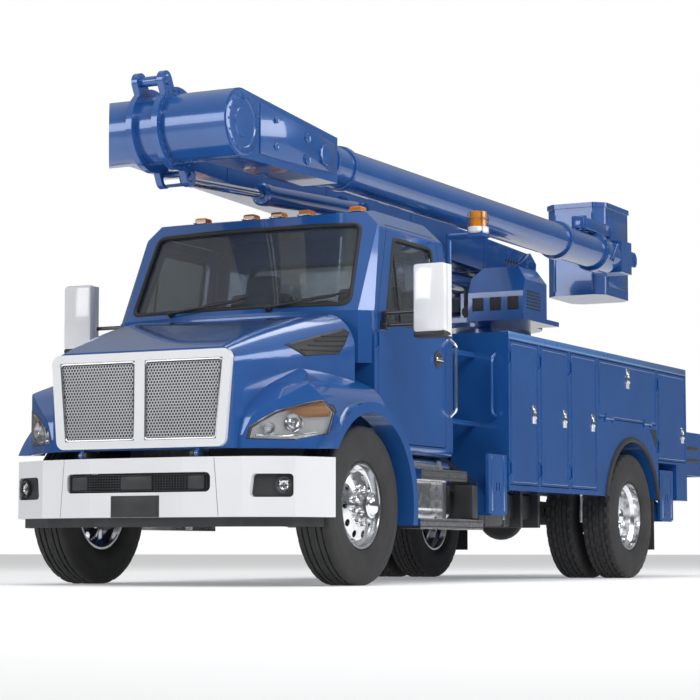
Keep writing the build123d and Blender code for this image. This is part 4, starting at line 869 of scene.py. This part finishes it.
for side, s in SIDES:
    face = s * HALF_WIDTH
    for name, x0, x1, low in DOORS:
        body = "body_door_" + name + "_" + side
        bm = bmesh.new()
        if name == "over_wheel":
            latch(bm, at((x0 + x1) / 2, face, DOOR_HEAD - 0.115), s, True)
        else:
            latch(bm, at(x1 + 0.075, face, 1.27), s, False)
        piece("latch_" + name + "_" + side, bm, CHROME, body)

        # Pressed panel: a raised bead round the door's face
        front, back = x0 - BEAD_INSET, x1 + BEAD_INSET
        foot, head = low + BEAD_INSET, DOOR_HEAD - BEAD_INSET
        edge = ((front, foot), (front, head), (back, head), (back, foot))
        bead = [at(x, face, z) for x, z in edge]
        tube("door_bead_" + name + "_" + side, bead, 0.0035, BLUE, body, True, 0.02)

    # Rails along the top of the bank, outside and inside, in a lighter copy of the body blue that is
    # a painted highlight
    bm = bmesh.new()
    x0, x1 = BODY_REAR + 0.002, BODY_FRONT - 0.002
    brick(bm, at(x0, s * 1.150, BODY_TOP - 0.052), at(x1, s * 1.2235, BODY_TOP + 0.006), 0.008)
    brick(bm, at(x0, s * 0.738, BODY_TOP - 0.030), at(x1, s * 0.790, BODY_TOP + 0.005), 0.006)
    piece("top_rail_" + side, bm, RAIL_BLUE_PAINTED_HIGHLIGHT, "chassis")

    # Rubber lip round the rear arch, from sill to sill
    points = []
    for i in range(41):
        a = radians(14 + 152 * i / 40)
        x, z = REAR_AXLE_X + ARCH_R * cos(a), TYRE_R + ARCH_R * sin(a)
        points.append(at(x, s * 1.2215, z))
    tube("arch_lip_" + side, points, 0.024, RUBBER, "chassis")

    # Dark marker panel behind the arch, below the fold-down door
    bm = bmesh.new()
    corners = [(-5.36, 1.285), (-5.515, 1.285), (-5.515, 1.120)]
    plate(bm, [at(x, face, z) for x, z in corners], (0, s * 0.004, 0), 0.0015)
    piece("arch_panel_" + side, bm, DARK, "chassis")

    # Mudflap behind the twin wheels on its bracket, underbody boxes ahead of them, drop tubes
    box = at(-5.508, s * 0.60, 0.24), at(-5.520, s * 1.19, 0.80), 0.004
    single("mudflap_" + side, brick, box, RUBBER, "chassis")
    bm = bmesh.new()
    brick(bm, at(-5.500, s * 0.42, 0.78), at(-5.530, s * 1.19, 0.82), 0.004)
    brick(bm, at(-2.50, s * 0.46, 0.42), at(-3.10, s * 0.86, 0.678), 0.02)
    brick(bm, at(-3.20, s * 0.46, 0.48), at(-3.80, s * 0.80, 0.678), 0.02)
    for x in (-2.62, -2.98, -3.32, -3.68):
        brick(bm, at(x - 0.025, s * 0.455, 0.415), at(x + 0.025, s * 0.864, 0.679), 0.004)
    piece("underbody_" + side, bm, BLACK_PAINT, "chassis")
    for i, x in enumerate((-2.36, -3.95)):
        drop = [at(x, s * 1.12, 0.70), at(x, s * 1.12, 0.46)]
        tube("drop_tube_%s_%d" % (side, i), drop, 0.012, ALLOY, "chassis")

    # Outrigger guards: a pad under each foot, ribs and bolts on the face
    for station, x in (("front", -2.055), ("rear", -5.800)):
        bm = bmesh.new()
        brick(bm, at(x - 0.120, s * 1.050, 0.4885), at(x + 0.120, s * 1.206, 0.500), 0.003)
        for dx in (-0.110, 0.110):
            low, high = at(x + dx - 0.012, s * 1.184, 0.52), at(x + dx + 0.012, s * 1.213, 0.93)
            brick(bm, low, high, 0.004)
        bolts(bm, at(x, s * 1.209, 0.60), (0, s, 0), FORE, 0.075, 4, 0.010, 0.785)
        leg = station + "_" + side
        piece("guard_ribs_" + leg, bm, BLUE, "leg_" + leg)

    # Tail lamp bezels and the shelf's side slots
    bm = bmesh.new()
    low, high = at(BODY_REAR - 0.002, s * 0.998, 1.318), at(BODY_REAR - 0.012, s * 1.202, 1.462)
    brick(bm, low, high, 0.004)
    for z in (1.06, 1.17):
        brick(bm, at(-6.42, s * 1.148, z - 0.018), at(-6.86, s * 1.1515, z + 0.018), 0.001)
    piece("tail_trim_" + side, bm, DARK, "chassis")

    # J handle on the front of the body
    grab = ((-2.215, 1.24), (-2.150, 1.26), (-2.150, 1.66), (-2.215, 1.70))
    points = [at(x, s * 1.12, z) for x, z in grab]
    tube("body_handle_" + side, points, 0.014, BLUE, "chassis", bend=0.03)

# Beacon: white base and a wire guard
BEACON = at(-1.75, 1.195, 2.57)
BEACON_BASE = ((0.076, 0.026), (0.080, 0.020), (0.080, -0.012), (0.070, -0.020), (0.030, -0.024))
single("beacon_base", lathe, (BEACON_BASE, BEACON, UP, 36), WHITE, "chassis")
for i in range(4):
    a = radians(45 + 90 * i)
    way = Vector((cos(a), sin(a), 0))
    foot = BEACON + way * 0.080
    wires = [foot, foot + Vector((0, 0, 0.138)), BEACON + Vector((0, 0, 0.150))]
    tube("beacon_wire_%d" % i, wires, 0.0035, STEEL, "chassis", bend=0.03)
ring = []
for k in range(24):
    a = pi * k / 12
    ring.append(BEACON + Vector((0.081 * cos(a), 0.081 * sin(a), 0.085)))
tube("beacon_ring", ring, 0.0035, STEEL, "chassis", True)

# Turret: bolt ring, slew drive, cowl vents, levers

TURRET = at(-4.75, 0, 2.15)
SLEW_CASE = ((0.10, 0.0), (0.10, 0.20), (0.085, 0.23), (0.085, 0.31), (0.070, 0.33), (0.0, 0.335))
LEVER = ((0.005, 0.0), (0.004, 0.07), (0.010, 0.078), (0.011, 0.090), (0.0, 0.098))
PIVOT_CAP = ((0.085, -0.001), (0.085, 0.010), (0.075, 0.014), (0.060, 0.012), (0.0, 0.012))
ring = TURRET + Vector((0, 0, 0.040)), UP, FORE, 0.395, 28, 0.014
single("turntable_bolts", bolts, ring, BLUE, "turret")
bm = bmesh.new()
lathe(bm, SLEW_CASE, at(-4.42, -0.02, 2.19), UP, 32)
bolts(bm, at(-4.42, -0.02, 2.39), UP, FORE, 0.088, 8, 0.008)
lathe(bm, [(0.050, 0.0), (0.050, 0.10), (0.0, 0.102)], at(-4.34, -0.02, 2.27), FORE, 24)
piece("slew_drive", bm, DARK, "turret")
bm = bmesh.new()
for i in range(6):
    z = 2.25 + 0.028 * i
    brick(bm, at(-4.30, 0.629, z), at(-4.02, 0.636, z + 0.012), 0.002)
for y in (0.22, 0.38, 0.54):
    brick(bm, at(-3.932, y - 0.05, 2.235), at(-3.926, y + 0.05, 2.345), 0.002)
piece("cowl_vents", bm, DARK, "turret")
bm = bmesh.new()
for i in range(5):
    x = -4.40 + 0.06 * i
    lathe(bm, LEVER, at(x, 0.38, 2.605), UP, 14)
piece("control_levers", bm, DARK, "turret")

# Boom pivot: capped pin with keeper bolts on each cheek
bm = bmesh.new()
for s in (-1, 1):
    centre = at(PIVOT[0], PIVOT[1] + s * 0.208, PIVOT[2])
    lathe(bm, PIVOT_CAP, centre, (0, s, 0), 36)
    bolts(bm, centre + Vector((0, s * 0.012, 0)), (0, s, 0), UP, 0.045, 4, 0.010)
piece("pivot_caps", bm, BLUE, "turret")

# Lower boom: stiffener bands, hard lines and their clamps
RISE = atan2(ELBOW[1] - PIVOT[2], ELBOW[0] - PIVOT[0])
BAND = ((-0.174, -0.154), (0.1745, -0.154), (0.1745, 0.154), (-0.174, 0.154))


def on_lower(t, y, h):
    """Place on the lower boom: distance from its pivot, across, and above its middle line."""
    x = PIVOT[0] + t * cos(RISE) - h * sin(RISE)
    z = PIVOT[2] + t * sin(RISE) + h * cos(RISE)
    return at(x, PIVOT[1] + y, z)


bm = bmesh.new()
for t in (0.9, 2.4, 3.9, 5.4):
    for (y0, h0), (y1, h1) in zip(BAND, BAND[1:] + BAND[:1]):
        strip = ((t, y0, h0), (t + 0.08, y0, h0), (t + 0.08, y1, h1), (t, y1, h1))
        inward = on_lower(t, 0, 0) - on_lower(t, (y0 + y1) / 2, (h0 + h1) / 2)
        plate(bm, [on_lower(*p) for p in strip], inward.normalized() * 0.007, 0)
piece("boom_bands", bm, BLUE, "lower_boom")
for i, y in enumerate((-0.06, 0.0, 0.06)):
    line = [on_lower(t, y, 0.160) for t in (0.5, 5.9)]
    tube("hard_line_%d" % i, line, 0.009, BLACK_PAINT, "lower_boom")
bm = bmesh.new()
for k in range(8):
    t = 0.7 + 0.7 * k
    brick(bm, on_lower(t, -0.085, 0.148), on_lower(t + 0.03, 0.085, 0.173), 0.003)
piece("line_clamps", bm, DARK, "lower_boom")

# Elbow: bolts on the flange rings, pins through the lugs, a bolted cap on the drum's end
LUG_PIN = ((0.030, -0.166), (0.034, -0.160), (0.034, 0.098), (0.030, 0.104), (0.0, 0.104))
ELBOW_CAP = ((0.215, -0.002), (0.215, 0.006), (0.205, 0.010), (0.165, 0.010), (0.160, 0.004),
             (0.100, 0.004), (0.095, 0.012), (0.0, 0.013))
LUG_R = 0.34
bm = bmesh.new()
for y, way in ((0.0905, 1), (-0.1525, -1)):
    bolts(bm, at(ELBOW[0], y, ELBOW[1]), (0, way, 0), UP, 0.255, 24, 0.011)
for turn in (63, 243):
    a = radians(turn)
    spot = at(ELBOW[0] + LUG_R * cos(a), 0, ELBOW[1] + LUG_R * sin(a))
    lathe(bm, LUG_PIN, spot, LEFT, 24)
piece("elbow_bolts", bm, BLUE, "upper_boom")
bm = bmesh.new()
lathe(bm, ELBOW_CAP, at(ELBOW[0], 0.570, ELBOW[1]), LEFT, 48)
bolts(bm, at(ELBOW[0], 0.580, ELBOW[1]), LEFT, UP, 0.185, 16, 0.009)
bolts(bm, at(ELBOW[0], 0.574, ELBOW[1]), LEFT, UP, 0.128, 8, 0.007)
piece("elbow_cap", bm, BLUE, "upper_boom")

# Root of the upper boom: welded side doubler with round bosses, then clamps along the tube
DOUBLER = ((0.40, 2.85), (0.40, 3.19), (-0.30, 3.135), (-0.66, 3.09), (-0.66, 2.88), (-0.30, 2.855))
BOSSES = ((-0.50, 2.985, 0.075), (-0.24, 3.06, 0.034), (-0.24, 2.91, 0.034), (0.20, 3.11, 0.022),
          (0.20, 2.93, 0.022))
ROOT_CLAMP = ((0.150, -0.035), (0.163, -0.033), (0.166, 0.0), (0.163, 0.033), (0.150, 0.035))
TIP_CLAMP = ((0.150, -0.05), (0.170, -0.045), (0.174, 0.0), (0.170, 0.045), (0.150, 0.05))
bm = bmesh.new()
plate(bm, [at(x, 0.569, z) for x, z in DOUBLER], (0, 0.010, 0), 0.003)
for x, z, r in BOSSES:
    boss = [(r, 0.0), (r, 0.014), (r * 0.85, 0.018), (r * 0.5, 0.016), (0.0, 0.016)]
    lathe(bm, boss, at(x, 0.578, z), LEFT, 32)
piece("root_doubler", bm, BLUE, "upper_boom")
bm = bmesh.new()
for clamp, places in ((ROOT_CLAMP, (-0.76, -1.02)), (TIP_CLAMP, (-5.2, -6.07))):
    for x in places:
        lathe(bm, clamp, at(x, *UPPER), FORE, 48)
piece("tube_clamps", bm, BLUE, "upper_boom")

# Glands on the cylinders' barrels, and a port block
RAM_GLAND = ((0.036, 0.022), (0.070, 0.020), (0.082, 0.010), (0.082, -0.060), (0.076, -0.068))
LIFT_GLAND = ((0.049, 0.022), (0.080, 0.020), (0.093, 0.010), (0.093, -0.060), (0.086, -0.068))
ram_end = at(-0.702, -0.032, 2.780)
ram_way = Vector((2.6806, 0, -0.143)).normalized()
bm = bmesh.new()
lathe(bm, RAM_GLAND, ram_end, ram_way, 40)
bolts(bm, ram_end + ram_way * 0.018, ram_way, LEFT, 0.062, 8, 0.008)
brick(bm, at(-2.02, -0.060, 2.915), at(-1.90, -0.004, 2.950), 0.004)
piece("ram_gland", bm, BLUE, "elbow_barrel")
bm = bmesh.new()
lathe(bm, LIFT_GLAND, at(-5.168, PIVOT[1], 2.595), (-1, 0, 0), 40)
bolts(bm, at(-5.188, PIVOT[1], 2.595), (-1, 0, 0), LEFT, 0.070, 8, 0.009)
piece("lift_gland", bm, BLUE, "lift_barrel")

# Tip: jib socket with its V bracket, pin cap, levelling wheel and arm, trunnion
WHEEL_GROOVE = ((0.095, -0.031), (0.112, -0.030), (0.112, -0.012), (0.102, 0.0), (0.112, 0.012),
                (0.112, 0.030), (0.095, 0.031))
ARM_HOLE = ((0.026, 0.0), (0.026, 0.003), (0.018, 0.003), (0.018, 0.0))
bm = bmesh.new()
brick(bm, at(-6.30, 0.36, 3.120), at(-6.05, 0.48, 3.165), 0.004)
brick(bm, at(-6.42, 0.36, 3.155), at(-5.72, 0.48, 3.265), 0.008)
for x in (-6.40, -5.76):
    brick(bm, at(x - 0.012, 0.350, 3.145), at(x + 0.012, 0.490, 3.275), 0.003)
for x0, x1 in ((-6.22, -6.06), (-6.22, -6.38)):
    leg = ((x0, 2.90), (x0 + 0.05, 2.90), (x1 + 0.05, 3.08), (x1, 3.08))
    plate(bm, [at(x, 0.571, z) for x, z in leg], (0, 0.008, 0), 0.002)
piece("jib_socket", bm, BLUE, "upper_boom")
bm = bmesh.new()
pin = at(TIP_PIN[0], 0.571, TIP_PIN[1])
bolts(bm, pin, LEFT, UP, 0.046, 6, 0.009)
lathe(bm, [(0.030, 0.0), (0.030, 0.012), (0.0, 0.013)], pin, LEFT, 24)
piece("tip_pin_cap", bm, BLUE, "upper_boom")
groove = WHEEL_GROOVE, at(TIP_PIN[0], 0.234, TIP_PIN[1]), LEFT, 48
single("levelling_groove", lathe, groove, STEEL, "levelling_wheel")
ring = at(TRUNNION[0], 0.246, TRUNNION[1]), LEFT, UP, 0.034, 6, 0.008
single("trunnion_bolts", bolts, ring, STEEL, "bucket")
bm = bmesh.new()
for k in (0.30, 0.50, 0.70):
    x, z = (a + (b - a) * k for a, b in zip(TIP_PIN, TRUNNION))
    lathe(bm, ARM_HOLE, at(x, 0.2335, z), LEFT, 32)
piece("arm_holes", bm, BLUE, "levelling_wheel")

# Bucket: pressed panels, rubber lip and its control box
X0, X1, Y0, Y1 = -7.78, -6.985, -0.42, 0.18
SMALL_LEVER = ((0.005, 0.0), (0.004, 0.030), (0.009, 0.034), (0.0, 0.040))
bm = bmesh.new()
for z0, z1 in ((2.79, 3.10), (3.16, 3.46)):
    for y, out in ((Y0, -0.005), (Y1, 0.005)):
        brick(bm, at(X0 + 0.14, y, z0), at(X1 - 0.14, y + out, z1), 0.004)
for y in (Y0 + 0.10, Y1 - 0.10):
    brick(bm, at(X1 - 0.002, y - 0.015, 2.74), at(X1 + 0.006, y + 0.015, 3.50), 0.003)
piece("bucket_panels", bm, BLUE, "bucket")
edge = (
    (X0 + 0.015, Y0 + 0.090), (X0 + 0.015, Y1 - 0.090), (X0 + 0.090, Y1 - 0.004),
    (X1 - 0.086, Y1 - 0.004), (X1 - 0.004, Y1 - 0.086), (X1 - 0.004, Y0 + 0.086),
    (X1 - 0.086, Y0 + 0.004), (X0 + 0.090, Y0 + 0.004),
)
lip = [at(x, y, 3.586) for x, y in edge]
tube("bucket_lip", lip, 0.014, RUBBER, "bucket", True, 0.03)
bm = bmesh.new()
brick(bm, at(X1 - 0.150, -0.24, 3.38), at(X1 - 0.020, -0.02, 3.56), 0.012)
for y in (-0.20, -0.13, -0.06):
    lathe(bm, SMALL_LEVER, at(X1 - 0.085, y, 3.555), UP, 12)
piece("bucket_controls", bm, DARK, "bucket")


# Floor, soft studio light and the photograph's camera

FLOOR_HALF = 160
# Camera fitted to the photograph: place, way it looks in plan, pitch in degrees, lens in mm
EYE = (13.1, 7.8, 0.22)
HEADING = (-0.8886, -0.4586)
PITCH = 5.18
FOCAL = 114.6

bm = bmesh.new()
corners = ((-1, -1), (1, -1), (1, 1), (-1, 1))
bm.faces.new([bm.verts.new((x * FLOOR_HALF, y * FLOOR_HALF, 0)) for x, y in corners])
mesh = bpy.data.meshes.new("floor")
bm.to_mesh(mesh)
bm.free()
mat, tree, shader, coords = tree_of("pale_floor")
tone = noise(tree, coords, 0.6, 5)
pale = ramp(tree, tone, [(0.2, (0.88, 0.88, 0.88)), (0.8, (0.92, 0.92, 0.92))])
surface(tree, shader, pale, span(tree, tone, 0.55, 0.7))
put(shader, Emission_Color=(1, 1, 1, 1), Emission_Strength=0.22)
mesh.materials.append(mat)
placed("floor", mesh)

# Studio: white where the camera sees it, and for the light a dome that darkens towards the floor
world = bpy.data.worlds.new("studio")
bpy.context.scene.world = world
world.use_nodes = True
sky = world.node_tree
lit = sky.nodes["Background"]
seen = sky.nodes.new("ShaderNodeBackground")
put(seen, Color=(1, 1, 1, 1), Strength=1.0)
where = sky.nodes.new("ShaderNodeTexCoord")
parts = sky.nodes.new("ShaderNodeSeparateXYZ")
sky.links.new(where.outputs["Generated"], parts.inputs["Vector"])
tones = [(0.0, (0.16, 0.17, 0.19)), (0.25, (0.30, 0.32, 0.35)), (0.85, (1, 1, 1))]
dome = ramp(sky, parts.outputs["Z"], tones)
sky.links.new(dome, lit.inputs["Color"])
put(lit, Strength=0.55)
path = sky.nodes.new("ShaderNodeLightPath")
mix = sky.nodes.new("ShaderNodeMixShader")
sky.links.new(path.outputs["Is Camera Ray"], mix.inputs["Fac"])
sky.links.new(lit.outputs["Background"], mix.inputs[1])
sky.links.new(seen.outputs["Background"], mix.inputs[2])
sky.links.new(mix.outputs["Shader"], sky.nodes["World Output"].inputs["Surface"])
bpy.context.scene.view_settings.view_transform = "Standard"

# Softboxes: name, place, what it looks at, width, height, watts
BOXES = (
    ("key", (9, 9, 9), (0, 0, 1.5), 7, 5, 800),
    ("side", (-4, 12, 6), (-1, 0, 1.5), 10, 4, 480),
    ("top", (0, 0, 11), (0, 0, 0), 11, 5, 520),
    ("nose", (12, -5, 5), (3, 0, 1.2), 5, 4, 260),
)
for name, place, aim, width, height, watts in BOXES:
    light = bpy.data.lights.new(name, "AREA")
    light.shape = "RECTANGLE"
    light.size, light.size_y, light.energy = width, height, watts
    box = placed(name, light)
    box.location = place
    box.rotation_euler = (Vector(aim) - Vector(place)).to_track_quat("-Z", "Y").to_euler()

camera = bpy.data.cameras.new("camera")
camera.sensor_width = 36
camera.lens = FOCAL
camera.clip_end = 400
eye = placed("camera", camera)
eye.location = at(*EYE)
pitch = radians(PITCH)
look = Vector((HEADING[0] * cos(pitch), HEADING[1] * cos(pitch), sin(pitch)))
eye.rotation_euler = look.to_track_quat("-Z", "Y").to_euler()
bpy.context.scene.camera = eye
